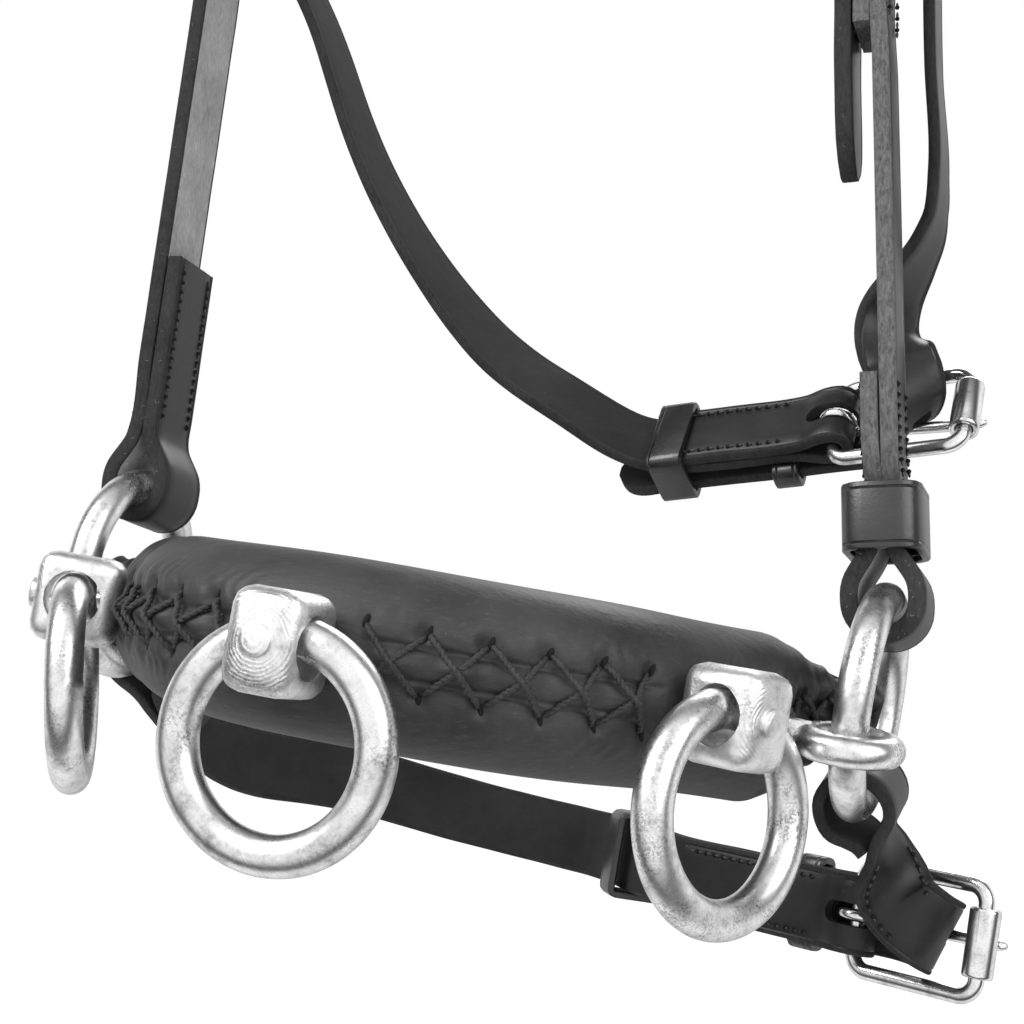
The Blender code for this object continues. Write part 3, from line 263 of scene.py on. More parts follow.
def waxedThread(name, **changes):
    look = dict(threadLook, **changes)
    material, tree, shader = newMaterial(name)
    fibres = noise(tree, objectCoords(tree), look["scale"], 4.0, 0.7)
    feed(tree, shader, {"Base Color": ramp(tree, fibres, [(0.3, look["dark"]), (0.7, look["light"])]),
                        "Roughness": look["roughness"], "Normal": bump(tree, fibres, 0.5, look["depth"])})
    return material


def paintedHoleShade(name):
    # Near-black colour for stitch holes and lace slits: painted shade in the openings
    material, tree, shader = newMaterial(name)
    fibres = noise(tree, objectCoords(tree), 1500.0, 2.0)
    feed(tree, shader, {"Base Color": ramp(tree, fibres, [(0.3, 0.002), (0.8, 0.008)]), "Roughness": 0.95})
    return material


strapGrain = grainLeather("strapGrainLeather", creases=0.22, shine=0.35)
rollGrain = grainLeather("nosebandGrainLeather", creases=0.8, shine=0.4, dark=0.015, light=0.046, speck=0.16,
                         roughness=0.50, creaseScale=150.0, wear=0.20)
flesh = fleshLeather("strapFleshSide")
dyedBack = grainLeather("strapDyedBack", creases=0.4, shine=0.12, dark=0.020, light=0.040, roughness=0.80)
cutEdge = fleshLeather("strapCutEdge", dark=0.012, light=0.050)
cheekEdge = fleshLeather("cheekStrapCutEdge", dark=0.014, light=0.060,
                         worn={"from": -0.352, "to": -0.336, "dark": 0.045, "light": 0.20})
ringSteel = platedSteel("platedRingSteel", streak=0.9)
buckleSteel = platedSteel("polishedBuckleSteel", streak=0.3, grain=0.08, rough=0.14)
thread = waxedThread("waxedThread")
laceThread = waxedThread("nosebandLaceThread", dark=0.012, light=0.050)
holeShade = paintedHoleShade("stitchHolePaintedShade")
print("stage: materials made")

# mesh helpers
meshRules = {"weld": 0.000004, "flat": math.radians(0.5), "sharp": math.radians(50.0)}


def plainName(nodeName):
    first, *others = nodeName.split("_")
    return first + "".join(word.capitalize() for word in others)


def addObject(name, mesh):
    thing = bpy.data.objects.new(name, mesh)
    bpy.context.scene.collection.objects.link(thing)
    return thing


def handOver(thing, body, slot, *replaced):
    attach(thing, body)
    if replaced:
        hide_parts(*replaced)


def meshObject(name, points, faces, materials, faceSlots=None, smooth=True):
    mesh = bpy.data.meshes.new(name)
    mesh.from_pydata([tuple(p) for p in points], [], faces)
    for material in materials:
        mesh.materials.append(material)
    if faceSlots is not None:
        mesh.polygons.foreach_set("material_index", faceSlots)
    shape = bmesh.new()
    shape.from_mesh(mesh)
    bmesh.ops.recalc_face_normals(shape, faces=shape.faces)
    shape.to_mesh(mesh)
    shape.free()
    if smooth:
        mesh.shade_smooth()
    return addObject(name, mesh)


def shapeObject(name, shape, material):
    mesh = bpy.data.meshes.new(name)
    shape.to_mesh(mesh)
    shape.free()
    mesh.materials.append(material)
    return addObject(name, mesh)


def mergedCopy(nodeName, name, material):
    shape = bmesh.new()
    shape.from_mesh(nodes[nodeName].data)
    bmesh.ops.remove_doubles(shape, verts=shape.verts, dist=meshRules["weld"])
    bmesh.ops.dissolve_limit(shape, angle_limit=meshRules["flat"], verts=shape.verts, edges=shape.edges)
    return shapeObject(name, shape, material)


def bakeShape(thing):
    bpy.context.view_layer.update()
    graph = bpy.context.evaluated_depsgraph_get()
    result = bpy.data.meshes.new_from_object(thing.evaluated_get(graph))
    thing.modifiers.clear()
    thing.data = result


def smoothFaces(thing):
    thing.data.shade_smooth()
    thing.data.set_sharp_from_angle(angle=meshRules["sharp"])


def roundEdges(thing, width, angle=40.0):
    step = thing.modifiers.new("roundedEdges", "BEVEL")
    step.width = width
    step.segments = 3
    step.limit_method = "ANGLE"
    step.angle_limit = math.radians(angle)
    step.harden_normals = False
    bakeShape(thing)
    smoothFaces(thing)


def surfaceOf(thing):
    return BVHTree.FromPolygons([v.co.copy() for v in thing.data.vertices],
                                [tuple(p.vertices) for p in thing.data.polygons])


def newGroup(name, *labels):
    tree = bpy.data.node_groups.new(name, "GeometryNodeTree")
    tree.interface.new_socket("Geometry", in_out="INPUT", socket_type="NodeSocketGeometry")
    for label in labels:
        tree.interface.new_socket(label, in_out="INPUT", socket_type="NodeSocketFloat")
    tree.interface.new_socket("Geometry", in_out="OUTPUT", socket_type="NodeSocketGeometry")
    return tree, tree.nodes.new("NodeGroupInput").outputs


def realised(tree, geometry, material):
    real = add(tree, "GeometryNodeRealizeInstances", {0: geometry})
    return add(tree, "GeometryNodeSetMaterial", {0: real.outputs[0], "Material": material}).outputs[0]


def grownOnLines(name, lines, group, values):
    # The node group's shapes along these lines, as a plain mesh
    points, edges = [], []
    for line in lines:
        base = len(points)
        points += [tuple(p) for p in line]
        edges += [(base + i, base + i + 1) for i in range(len(line) - 1)]
    mesh = bpy.data.meshes.new(name)
    mesh.from_pydata(points, edges, [])
    piece = addObject(name, mesh)
    step = piece.modifiers.new(group.name, "NODES")
    step.node_group = group
    for socket in group.interface.items_tree:
        if socket.in_out == "INPUT" and socket.name in values:
            step[socket.identifier] = values[socket.name]
    bakeShape(piece)
    piece.data.shade_smooth()
    return piece


def sweep(centres, sides, ups, profile, closedPath=False):
    # profile is a list of (across, up) pairs, or one list for each centre
    rows = []
    for i, (centre, side, up) in enumerate(zip(centres, sides, ups)):
        section = profile[i] if isinstance(profile[0][0], (tuple, list)) else profile
        rows.append([centre + side * a + up * b for a, b in section])
    count = len(rows[0])
    points = [p for row in rows for p in row]
    faces = []
    last = len(rows) if closedPath else len(rows) - 1
    for i in range(last):
        j = (i + 1) % len(rows)
        for k in range(count):
            m = (k + 1) % count
            faces.append((i * count + k, i * count + m, j * count + m, j * count + k))
    if not closedPath:
        faces.append(tuple(range(count))[::-1])
        faces.append(tuple((len(rows) - 1) * count + k for k in range(count)))
    return points, faces


def circle(radius, sides):
    return [(radius * math.cos(2 * math.pi * k / sides), radius * math.sin(2 * math.pi * k / sides))
            for k in range(sides)]


weldShape = {"rise": 0.022, "width": 0.05, "dip": 0.012, "dipAt": 0.09, "dipWidth": 0.03, "most": 1.02}


def ringMesh(centre, axis, radius, bar, steps=144, sides=28, wobble=0.0, weldTurn=None):
    axis = axis.normalized()
    first = axis.orthogonal().normalized()
    second = axis.cross(first)
    outs, profiles = [], []
    for i in range(steps):
        turn = 2.0 * math.pi * i / steps
        outs.append(first * math.cos(turn) + second * math.sin(turn))
        swell = 1.0 + wobble * math.sin(turn * 5.0 + 1.3) * math.sin(turn * 2.0)
        if weldTurn is not None:
            gap = abs((turn - weldTurn + math.pi) % (2 * math.pi) - math.pi)
            swell += weldShape["rise"] * math.exp(-(gap / weldShape["width"]) ** 2)
            swell -= weldShape["dip"] * math.exp(-((gap - weldShape["dipAt"]) / weldShape["dipWidth"]) ** 2)
        profiles.append(circle(bar * min(swell, weldShape["most"]), sides))
    return sweep([centre + out * radius for out in outs], outs, [axis] * steps, profiles, True)


def planeOf(nodeName):
    unique = np.unique(np.array([v.co for v in nodes[nodeName].data.vertices]).round(6), axis=0)
    centre = unique.mean(0)
    values, vectors = np.linalg.eigh(np.cov((unique - centre).T))
    return Vector(centre), Vector(vectors[:, 0])


view = {"place": (0.1847, -0.5495, -0.3857), "ahead": (-0.3364, 0.9396, 0.0628),
        "right": (0.9415, 0.3371, 0.0), "lens": 67.2, "sensor": 36.0, "clipStart": 0.01}

# straps: the four long edges of a CAD strap give its middle line
trackRules = {"endSpan": 0.0235, "mostPoints": 5000, "finer": 12, "window": 48, "step": 0.0016}


def strapTrack(nodeName, startNear):
    shape = bmesh.new()
    shape.from_mesh(nodes[nodeName].data)
    bmesh.ops.remove_doubles(shape, verts=shape.verts, dist=meshRules["weld"])
    links = defaultdict(list)
    for edge in shape.edges:
        if len(edge.link_faces) == 2 and edge.calc_face_angle(0.0) > meshRules["sharp"]:
            a, b = edge.verts
            links[a.index].append(b.index)
            links[b.index].append(a.index)
    shape.verts.ensure_lookup_table()
    place = {v.index: v.co.copy() for v in shape.verts}
    shape.free()
    corners = {v for v, near in links.items() if len(near) == 3}
    ends = []
    left = set(corners)
    while left:
        group, todo = set(), [left.pop()]
        while todo:
            v = todo.pop()
            group.add(v)
            for w in links[v]:
                if w in corners and w not in group and (place[w] - place[v]).length < trackRules["endSpan"]:
                    todo.append(w)
        left -= group
        ends.append(sorted(group))
    ends = [g for g in ends if len(g) == 4]
    start = min(ends, key=lambda g: (sum((place[v] for v in g), Vector()) / 4.0 - startNear).length)
    rails = []
    for corner in start:
        before = corner
        now = next(w for w in links[corner] if w not in start)
        rail = [corner]
        while now not in corners and len(rail) < trackRules["mostPoints"]:
            rail.append(now)
            onward = [w for w in links[now] if w != before]
            before, now = now, onward[0]
        rail.append(now)
        if now in start:
            rail = rail[:len(rail) // 2]  # a rounded tail: the other half is the rail across
        rails.append([place[v] for v in rail])
    firsts = [rail[0] for rail in rails]
    order = sorted(range(1, 4), key=lambda k: (firsts[k] - firsts[0]).length)
    a, b, d, c = rails[0], rails[order[0]], rails[order[1]], rails[order[2]]
    b, c, d = (matched(a, rail) for rail in (b, c, d))
    centres, acrosses, ups = [], [], []
    for p, q, r, s in zip(a, b, c, d):
        centres.append((p + q + r + s) / 4.0)
        acrosses.append(((r + s) - (p + q)) / 2.0)
        ups.append(((q + r) - (p + s)) / 2.0)
    return centres, acrosses, ups


def matched(rail, other):
    # The points of the other rail that lie across from each point of this one
    if len(rail) == len(other):
        return other
    finer = trackRules["finer"]
    fine = [other[i].lerp(other[i + 1], k / finer) for i in range(len(other) - 1) for k in range(finer)]
    fine.append(other[-1])
    result, last = [other[0]], 0
    for point in rail[1:-1]:
        window = range(last, min(len(fine), last + trackRules["window"]))
        last = min(window, key=lambda k: (fine[k] - point).length)
        result.append(fine[last])
    return result + [other[-1]]


def unit(rows):
    return rows / np.linalg.norm(rows, axis=1)[:, None]


def acrossFrom(wide, points, station, guide):
    # Directions across and up at each point, square to the way that the strap runs
    tangents = unit(np.gradient(points, station, axis=0))
    flat = unit(wide - tangents * (wide * tangents).sum(1)[:, None])
    face = np.cross(tangents, flat)
    return flat, face * np.sign((face * guide).sum(1))[:, None]


def smoothTrack(centres, acrosses, ups):
    co, side = np.array(centres), np.array(acrosses)
    along = np.concatenate([[0.0], np.cumsum(np.linalg.norm(np.diff(co, axis=0), axis=1))])
    keep = np.concatenate([[True], np.diff(along) > 1e-6])
    co, side, along, upward = co[keep], side[keep], along[keep], np.array(ups)[keep]
    thickness = float(np.median(np.linalg.norm(np.array(ups), axis=1)))
    slopes = np.gradient(co, along, axis=0)
    goal = np.linspace(0.0, along[-1], max(8, int(along[-1] / trackRules["step"])))
    at = np.clip(np.searchsorted(along, goal, side="right") - 1, 0, len(along) - 2)
    span = (along[at + 1] - along[at])[:, None]
    t = ((goal - along[at])[:, None]) / span
    curve = ((2 * t ** 3 - 3 * t ** 2 + 1) * co[at] + (t ** 3 - 2 * t ** 2 + t) * span * slopes[at]
             + (-2 * t ** 3 + 3 * t ** 2) * co[at + 1] + (t ** 3 - t ** 2) * span * slopes[at + 1])
    wide = side[at] * (1 - t) + side[at + 1] * t
    guide = upward[at] * (1 - t) + upward[at + 1] * t
    flat, face = acrossFrom(wide, curve, goal, guide)
    return {"points": curve, "across": flat, "up": face, "width": np.linalg.norm(wide, axis=1),
            "thickness": thickness, "station": goal, "length": goal[-1]}


strapShape = {"cornerRadius": 0.0008, "crown": 0.00012, "creaseInset": 0.0017, "creaseDepth": 0.00022,
              "creaseHalf": 0.00045, "narrowStrap": 0.005, "waviness": 0.00012, "waves": (210.0, 67.0),
              "slackWidth": 0.0002, "slackThickness": 0.0001, "leastWidth": 0.002, "cornerShare": 0.4,
              "backCrease": 0.3, "stoutFrom": 0.004}


def strapSection(width, thickness):
    half, tall = width / 2.0, thickness / 2.0
    radius = min(strapShape["cornerRadius"], half * strapShape["cornerShare"])
    line = half - strapShape["creaseInset"]
    deep, narrow = strapShape["creaseDepth"], strapShape["creaseHalf"]
    if half > strapShape["narrowStrap"]:
        marks = [(-line - narrow, 0.0), (-line, deep), (-line + narrow, 0.0),
                 (-half * 0.5, 0.0), (0.0, 0.0), (half * 0.5, 0.0),
                 (line - narrow, 0.0), (line, deep), (line + narrow, 0.0)]
    else:
        marks = [(half * s, 0.0) for s in (-0.55, -0.5, -0.45, -0.25, 0.0, 0.25, 0.45, 0.5, 0.55)]
    points, kinds = [], []
    for kind, side, depth in ((0, 1.0, 1.0), (1, -1.0, strapShape["backCrease"])):
        for a, cut in marks[::-1] if kind == 0 else marks:
            fall = strapShape["crown"] * (a / half) ** 2
            points.append((a, side * (tall - fall - cut * depth)))
            kinds.append(kind)
        for i in range(7):
            turn = side * math.pi / 2.0 + math.pi * i / 6.0
            height = side * (tall - radius) * (1 if i < 3 else -1) + radius * math.sin(turn)
            points.append((side * (radius - half) + radius * math.cos(turn), 0.0 if i == 3 else height))
            kinds.append(2)
    return points, kinds


def makeStrap(name, track, grainUp, back, edge):
    sign = 1.0 if grainUp else -1.0
    sections = []
    for station, width in zip(track["station"], track["width"]):
        wave = strapShape["waviness"]
        for pace in strapShape["waves"]:
            wave *= math.sin(station * pace)
        section, kinds = strapSection(max(width - strapShape["slackWidth"] + wave, strapShape["leastWidth"]),
                                      track["thickness"] - strapShape["slackThickness"])
        sections.append(section)
    points, faces = sweep([Vector(p) for p in track["points"]], [Vector(a) for a in track["across"]],
                          [Vector(u) * sign for u in track["up"]], sections)
    count = len(kinds)
    slots = []
    for face in faces[:-2]:
        k = face[0] % count
        slots.append(kinds[k] if kinds[k] == kinds[(k + 1) % count] else 2)
    return meshObject(name, points, faces, [strapGrain, back, edge], slots + [2, 2])


def grainSide(track, station, mainFrom):
    # The side of a folded strap that looks away from its own main length
    i = int(np.searchsorted(track["station"], station))
    rest = track["points"][track["station"] > mainFrom]
    near = rest[np.argmin(np.linalg.norm(rest - track["points"][i], axis=1))]
    return float(np.dot(track["points"][i] - near, track["up"][i])) > 0.0


def buckleMatrix(prefix):
    heel = Vector(joints[prefix + "_tongue_lift"]["pos_m"])
    roller = Vector(joints[prefix + "_roller_turn"]["pos_m"])
    along = (heel - roller).normalized()
    across = Vector(joints[prefix + "_tongue_lift"]["axis"]).normalized()
    face = along.cross(across)
    matrix = Matrix((along, across, face)).transposed().to_4x4()
    matrix.translation = heel
    return matrix


buckle = {"wire": 0.0022, "length": 0.038, "inside": 0.0252, "corner": 0.0050, "roller": 0.0042,
          "rollerGap": 0.0006, "rim": ((0.0, 0.0009), (0.0001, 0.0003), (0.0005, 0.0)), "lip": 0.0004,
          "tongue": 0.0017, "overhang": 0.004, "play": 0.0004, "hookShare": 0.80,
          "slimming": (0.94, 0.8, 0.5), "pathStep": 0.0012, "frameInset": 0.00001,
          "tongueInset": 0.00002, "slotLength": 0.017,
          "slotWidth": 0.0062, "slotDepth": 0.030, "holeLength": 0.023, "holeWidth": 0.0050,
          "holeDepth": 0.0135, "holeRise": 0.0079, "holeShare": 0.45}


def cutOblong(thing, matrix, length, width, depth, rise=0.0):
    straight, radius = (length - width) / 2.0, width / 2.0
    outline = []
    for end in (1.0, -1.0):
        for i in range(13):
            turn = -math.pi / 2.0 + math.pi * i / 12.0
            outline.append((end * (straight + radius * math.cos(turn)), end * radius * math.sin(turn)))
    count = len(outline)
    points = [matrix @ Vector((x, y, rise + z)) for z in (-depth / 2.0, depth / 2.0) for x, y in outline]
    faces = [(k, (k + 1) % count, count + (k + 1) % count, count + k) for k in range(count)]
    faces += [tuple(range(count))[::-1], tuple(range(count, 2 * count))]
    cutter = meshObject(thing.name + "Cutter", points, faces, [cutEdge], smooth=False)
    step = thing.modifiers.new("slot", "BOOLEAN")
    step.operation = "DIFFERENCE"
    step.solver = "EXACT"
    step.object = cutter
    bakeShape(thing)
    bpy.data.objects.remove(cutter, do_unlink=True)
    smoothFaces(thing)


crownHeel, jowlHeel, chinHeel = (buckleMatrix(p) for p in ("crown", "jowl", "chin"))
offRing = Vector(joints["cheek_ring_off_turn"]["pos_m"])

# for each strap: where its first end is, a place in its fold, and where its main length begins
strapStarts = {"crown_strap": (offRing, 0.010, 0.080),
               "near_cheek_strap": (crownHeel.translation, 0.006, 0.045),
               "jowl_strap": (jowlHeel.translation, 0.010, 0.075),
               "chin_strap": (chinHeel.translation, 0.010, 0.075)}
tracks, grainUp = {}, {}
for strapName, (startNear, foldAt, mainFrom) in strapStarts.items():
    tracks[strapName] = smoothTrack(*strapTrack(strapName, startNear))
    grainUp[strapName] = grainSide(tracks[strapName], foldAt, mainFrom)
    print("strap", strapName, "length", round(tracks[strapName]["length"] * 1000), "mm")

# where the two billets lead, in millimetres, with the direction across them at each place
billetRoutes = {
    "jowl_billet": [
        (103.6, -0.9, -97.4, -0.02, 0.99, -0.13), (104.9, -4.2, -123, -0.01, 0.99, -0.15),
        (110.3, -5.1, -135.3, -0.09, 0.99, 0.08), (116.9, 2.5, -163.4, -0.05, 1, 0.08),
        (116.5, 2, -193.4, -0.02, 1, -0.01), (116.5, 2, -223.4, -0.02, 1, -0),
        (117.6, 1.4, -253.4, 0.01, 1, -0.01), (116.5, 2, -266, 0.06, 0.99, 0.13),
        (114.5, 3.3, -271.6, 0.22, 0.95, 0.21), (108.6, 7.5, -280.6, 0.44, 0.89, 0.12),
        (103.2, 10.8, -288.6, 0.55, 0.83, -0.09), (101.7, 11.2, -292.4, 0.61, 0.77, -0.17),
        (101.2, 10.9, -295.1, 0.66, 0.72, -0.19), (101.3, 9.9, -298.2, 0.74, 0.65, -0.16),
        (102.4, 7.8, -301.5, 0.86, 0.52, -0), (103.9, 5.4, -304.5, 0.91, 0.36, 0.19),
        (105.4, 2.9, -307.3, 0.96, 0.12, 0.24), (107.4, 0, -311.9, 0.98, 0.18, -0),
        (108.4, -0.7, -315.3, 0.92, 0.39, -0.07), (109, -0.4, -318.9, 0.8, 0.59, -0.06),
        (108.9, 0.9, -322.3, 0.65, 0.76, -0), (108.2, 2.6, -325, 0.5, 0.86, 0.1),
        (106.6, 4.8, -327.3, 0.34, 0.9, 0.26), (104.5, 6.9, -328.7, 0.21, 0.88, 0.42),
        (101.5, 8.9, -329.4, 0.1, 0.79, 0.6), (97.8, 10.4, -329.5, 0.04, 0.67, 0.74),
        (68.2, 14.8, -331.7, 0.04, 0.66, 0.75), (38.5, 19, -333.8, 0.04, 0.66, 0.75),
        (28, 20.5, -335.1, 0, 0.68, 0.73),
    ],
    "chin_billet": [
        (100.9, -29.6, -441.9, 0.04, 0.96, 0.28), (99.2, -30, -440, 0.04, 0.96, 0.27),
        (96.6, -30.3, -438.7, 0.04, 0.96, 0.26), (92.2, -30.6, -436.8, 0.04, 0.96, 0.26),
        (91.2, -30.9, -435.7, 0.04, 0.96, 0.26), (90.2, -31.4, -433.6, 0.04, 0.96, 0.26),
        (89.5, -32.3, -430, 0.04, 0.96, 0.26), (89.8, -33.1, -427.5, 0.04, 0.96, 0.26),
        (90.9, -33.7, -425.2, 0.04, 0.96, 0.26), (92.6, -34.3, -423.2, 0.04, 0.96, 0.26),
        (94.8, -34.8, -421.8, 0.04, 0.96, 0.26), (97.4, -35.1, -421.1, 0.04, 0.96, 0.26),
        (100, -35.2, -421.2, 0.04, 0.96, 0.26), (102.6, -35.1, -421.9, 0.04, 0.96, 0.26),
        (104.8, -34.8, -423.4, 0.04, 0.96, 0.26), (106.5, -34.4, -425.3, 0.04, 0.96, 0.26),
        (108.1, -33.5, -428.7, 0.04, 0.96, 0.26), (108.3, -33, -430.7, 0.04, 0.96, 0.26),
        (108.1, -32.6, -432.1, 0.04, 0.96, 0.26), (104.4, -30.4, -439.7, 0.06, 0.96, 0.28),
        (105.2, -29.4, -444.3, 0.29, 0.88, 0.37), (105.6, -28.7, -447.5, 0.5, 0.77, 0.39),
        (105.9, -27.9, -450.6, 0.7, 0.6, 0.38), (106.3, -27.3, -453.5, 0.83, 0.38, 0.41),
        (106.9, -27, -455.9, 0.85, 0.14, 0.51), (107.9, -27.1, -458, 0.78, -0.07, 0.62),
        (110.5, -27.7, -460.7, 0.75, -0.07, 0.66), (112.7, -27.4, -462.5, 0.74, 0.04, 0.67),
        (114.8, -26.3, -464.3, 0.71, 0.14, 0.69), (116.5, -24.5, -465.8, 0.65, 0.22, 0.73),
        (117.6, -22, -466.9, 0.57, 0.28, 0.77), (118.1, -19.3, -467.7, 0.47, 0.31, 0.82),
        (117.7, -16.4, -468.1, 0.38, 0.3, 0.88), (116.6, -13.7, -468, 0.29, 0.26, 0.92),
        (114.8, -11.4, -467.7, 0.21, 0.2, 0.96), (111.7, -9.3, -467, 0.15, 0.11, 0.98),
        (84.2, 2.6, -464.1, 0.15, 0.1, 0.98), (56.5, 14.3, -461.2, 0.15, 0.1, 0.98),
        (32.6, 25.4, -458.6, 0.16, 0.08, 0.98), (27.3, 31.2, -458.1, 0.17, 0.07, 0.98),
        (21, 41.3, -457.6, 0.17, 0.06, 0.98),
    ],
}
billetShape = {"width": 0.022, "thickness": 0.0034, "tip": 0.0115, "leastTip": 0.22}


def routeTrack(rows):
    centres = [Vector(row[:3]) * 0.001 for row in rows]
    acrosses = [Vector(row[3:]).normalized() * billetShape["width"] for row in rows]
    centres.append(centres[-1] + (centres[-1] - centres[-2]).normalized() * billetShape["tip"])
    acrosses.append(acrosses[-1])
    ups = []
    for i, across in enumerate(acrosses):
        along = centres[min(i + 1, len(centres) - 1)] - centres[max(i - 1, 0)]
        ups.append(along.cross(across).normalized() * billetShape["thickness"])
    track = smoothTrack(centres, acrosses, ups)
    left = np.clip((track["length"] - track["station"]) / billetShape["tip"], 0.0, 1.0)
    track["width"] = track["width"] * np.maximum(np.sqrt(1.0 - (1.0 - left) ** 2), billetShape["leastTip"])
    return track


relaxing = {"reach": 0.022, "spread": 0.6,
            "spans": {"jowl_strap": (0.085, 0.03), "chin_strap": (0.085, 0.06)}}


def relax(track, start, end):
    # Smooths the middle of a strap's run, where soft leather takes up small turns
    station, reach = track["station"], relaxing["reach"]
    share = np.clip((station - start) / reach, 0.0, 1.0) * np.clip((end - station) / reach, 0.0, 1.0)
    share = share[:, None]
    spread = reach * relaxing["spread"]
    weights = np.exp(-0.5 * ((station[:, None] - station[None, :]) / spread) ** 2)
    weights /= weights.sum(1)[:, None]
    for key in ("points", "across"):
        track[key] = track[key] * (1.0 - share) + (weights @ track[key]) * share
    track["across"], track["up"] = acrossFrom(track["across"], track["points"], station, track["up"])


for strapName, route in billetRoutes.items():
    tracks[strapName] = routeTrack(route)
    grainUp[strapName] = True
for strapName, (start, left) in relaxing["spans"].items():
    relax(tracks[strapName], start, tracks[strapName]["length"] - left)
straps = {}
for strapName, track in tracks.items():
    straps[strapName] = makeStrap(plainName(strapName) + "Leather", track, grainUp[strapName],
                                  flesh if track["thickness"] > strapShape["stoutFrom"] else dyedBack,
                                  cheekEdge if strapName == "near_cheek_strap" else cutEdge)
for strapName, heel in (("near_cheek_strap", crownHeel), ("jowl_strap", jowlHeel), ("chin_strap", chinHeel)):
    cutOblong(straps[strapName], heel, buckle["slotLength"], buckle["slotWidth"], buckle["slotDepth"])
toHole = Matrix.Translation((-buckle["length"] * buckle["holeShare"], 0.0, 0.0))
for strapName, heel, depth, rise in (("crown_strap", crownHeel, buckle["slotDepth"], 0.0),
                                     ("jowl_billet", jowlHeel, buckle["holeDepth"], buckle["holeRise"]),
                                     ("chin_billet", chinHeel, buckle["holeDepth"], buckle["holeRise"])):
    cutOblong(straps[strapName], heel @ toHole, buckle["holeLength"], buckle["holeWidth"], depth, rise)
for strapName, made in straps.items():
    handOver(made, bodyOf[strapName], "black_leather", strapName)
print("stage: straps made")

# stray fibres along the cut edges of the cheek straps, one in five of them at the strap's end
fibreShape = {"perStrap": 420, "endEvery": 5, "shortest": 0.0006, "longest": 0.0030, "radius": 0.00005,
              "tapered": 0.8, "rooted": 0.0003, "turns": (0.0, 2.094, 4.189), "offMiddle": 0.45, "slant": 0.8,
              "lean": 0.7, "bend": 0.5}
fibreSource = random.Random(19)


def either(most):
    return fibreSource.uniform(-most, most)


for strapName in ("crown_strap", "near_cheek_strap"):
    track = tracks[strapName]
    count = len(track["station"])
    fibres = bmesh.new()
    for number in range(fibreShape["perStrap"]):
        atEnd = number % fibreShape["endEvery"] == 0
        i = fibreSource.randrange(2) if atEnd else fibreSource.randrange(count)
        side = fibreSource.choice((-1.0, 1.0))
        across, up = Vector(track["across"][i]), Vector(track["up"][i])
        ahead, behind = track["points"][min(i + 1, count - 1)], track["points"][max(i - 1, 0)]
        along = Vector(ahead - behind).normalized()
        lift = either(fibreShape["offMiddle"]) * track["thickness"]
        spread = (either(0.5) if atEnd else side / 2.0) * track["width"][i]
        root = Vector(track["points"][i]) + across * spread + up * lift
        way = -along if atEnd else across * side
        way = (way + along * either(fibreShape["slant"]) + up * either(fibreShape["lean"])).normalized()
        reach = fibreSource.uniform(fibreShape["shortest"], fibreShape["longest"]) * fibreSource.random()
        first = way.orthogonal().normalized()
        second = way.cross(first)
        middle = root + way * reach * 0.5 + first * reach * either(fibreShape["bend"])
        rings = []
        for place, radius in ((root - way * fibreShape["rooted"], fibreShape["radius"]),
                              (middle, fibreShape["radius"] * fibreShape["tapered"])):
            rings.append([fibres.verts.new(place + (first * math.cos(q) + second * math.sin(q)) * radius)
                          for q in fibreShape["turns"]])
        tip = fibres.verts.new(root + way * reach)
        for k in range(3):
            m = (k + 1) % 3
            fibres.faces.new((rings[0][k], rings[0][m], rings[1][m], rings[1][k]))
            fibres.faces.new((rings[1][k], rings[1][m], tip))
        fibres.faces.new(rings[0][::-1])
    bmesh.ops.recalc_face_normals(fibres, faces=fibres.faces)
    handOver(shapeObject(plainName(strapName) + "Fibres", fibres, flesh), bodyOf[strapName], "black_leather")

# keepers, with a tooled line near each of their edges
keeperShape = {"lineInset": 0.0017, "lineHalf": 0.0004, "lineStrength": 0.9, "lineDepth": 0.0005,
               "rounding": 0.0006}
keeperAxis = {"near_cheek_keeper": Vector(joints["cheek_keeper_slide"]["axis"])}
for keeperName, strapName in (("jowl_fixed_keeper", "jowl_strap"), ("jowl_running_keeper", "jowl_strap"),
                              ("chin_fixed_keeper", "chin_strap"), ("chin_running_keeper", "chin_strap")):
    low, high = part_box(keeperName)
    track = tracks[strapName]
    i = int(np.argmin(np.linalg.norm(track["points"] - np.array((low + high) / 2.0), axis=1)))
    keeperAxis[keeperName] = Vector(track["points"][i + 2] - track["points"][i - 2]).normalized()


def keeperLeather(keeperName):
    axis = keeperAxis[keeperName]
    along = [v.co.dot(axis) for v in nodes[keeperName].data.vertices]
    start, end = min(along), max(along)
    material = grainLeather(plainName(keeperName) + "Leather", creases=0.3, shine=0.7, roughness=0.30)
    tree = material.node_tree
    share = mapped(tree, alongAxis(tree, objectCoords(tree), axis), start, end)
    line, wide = keeperShape["lineInset"] / (end - start), keeperShape["lineHalf"] / (end - start)
    stops = []
    for spot in (line, 1.0 - line):
        stops += [(spot - wide, 1.0), (spot, 0.0), (spot + wide, 1.0)]
    shader = tree.nodes["Principled BSDF"]
    under = shader.inputs["Normal"].links[0].from_socket
    feed(tree, shader, {"Normal": bump(tree, ramp(tree, share, stops), keeperShape["lineStrength"],
                                       keeperShape["lineDepth"], under)})
    return material


for keeperName in keeperAxis:
    made = mergedCopy(keeperName, plainName(keeperName) + "Leather", keeperLeather(keeperName))
    roundEdges(made, keeperShape["rounding"])
    handOver(made, bodyOf[keeperName], "black_leather", keeperName)
print("stage: keepers made")


# stitches: a row of thread pieces and pricked holes along each line of points; the holes are near-black
# spheres, painted shade
def spacedPoints(tree, curve, pitch):
    spread = add(tree, "GeometryNodeResampleCurve", {0: curve, "Length": pitch}, mode="LENGTH")
    return add(tree, "GeometryNodeCurveToPoints", {0: spread.outputs[0]}, mode="EVALUATED").outputs


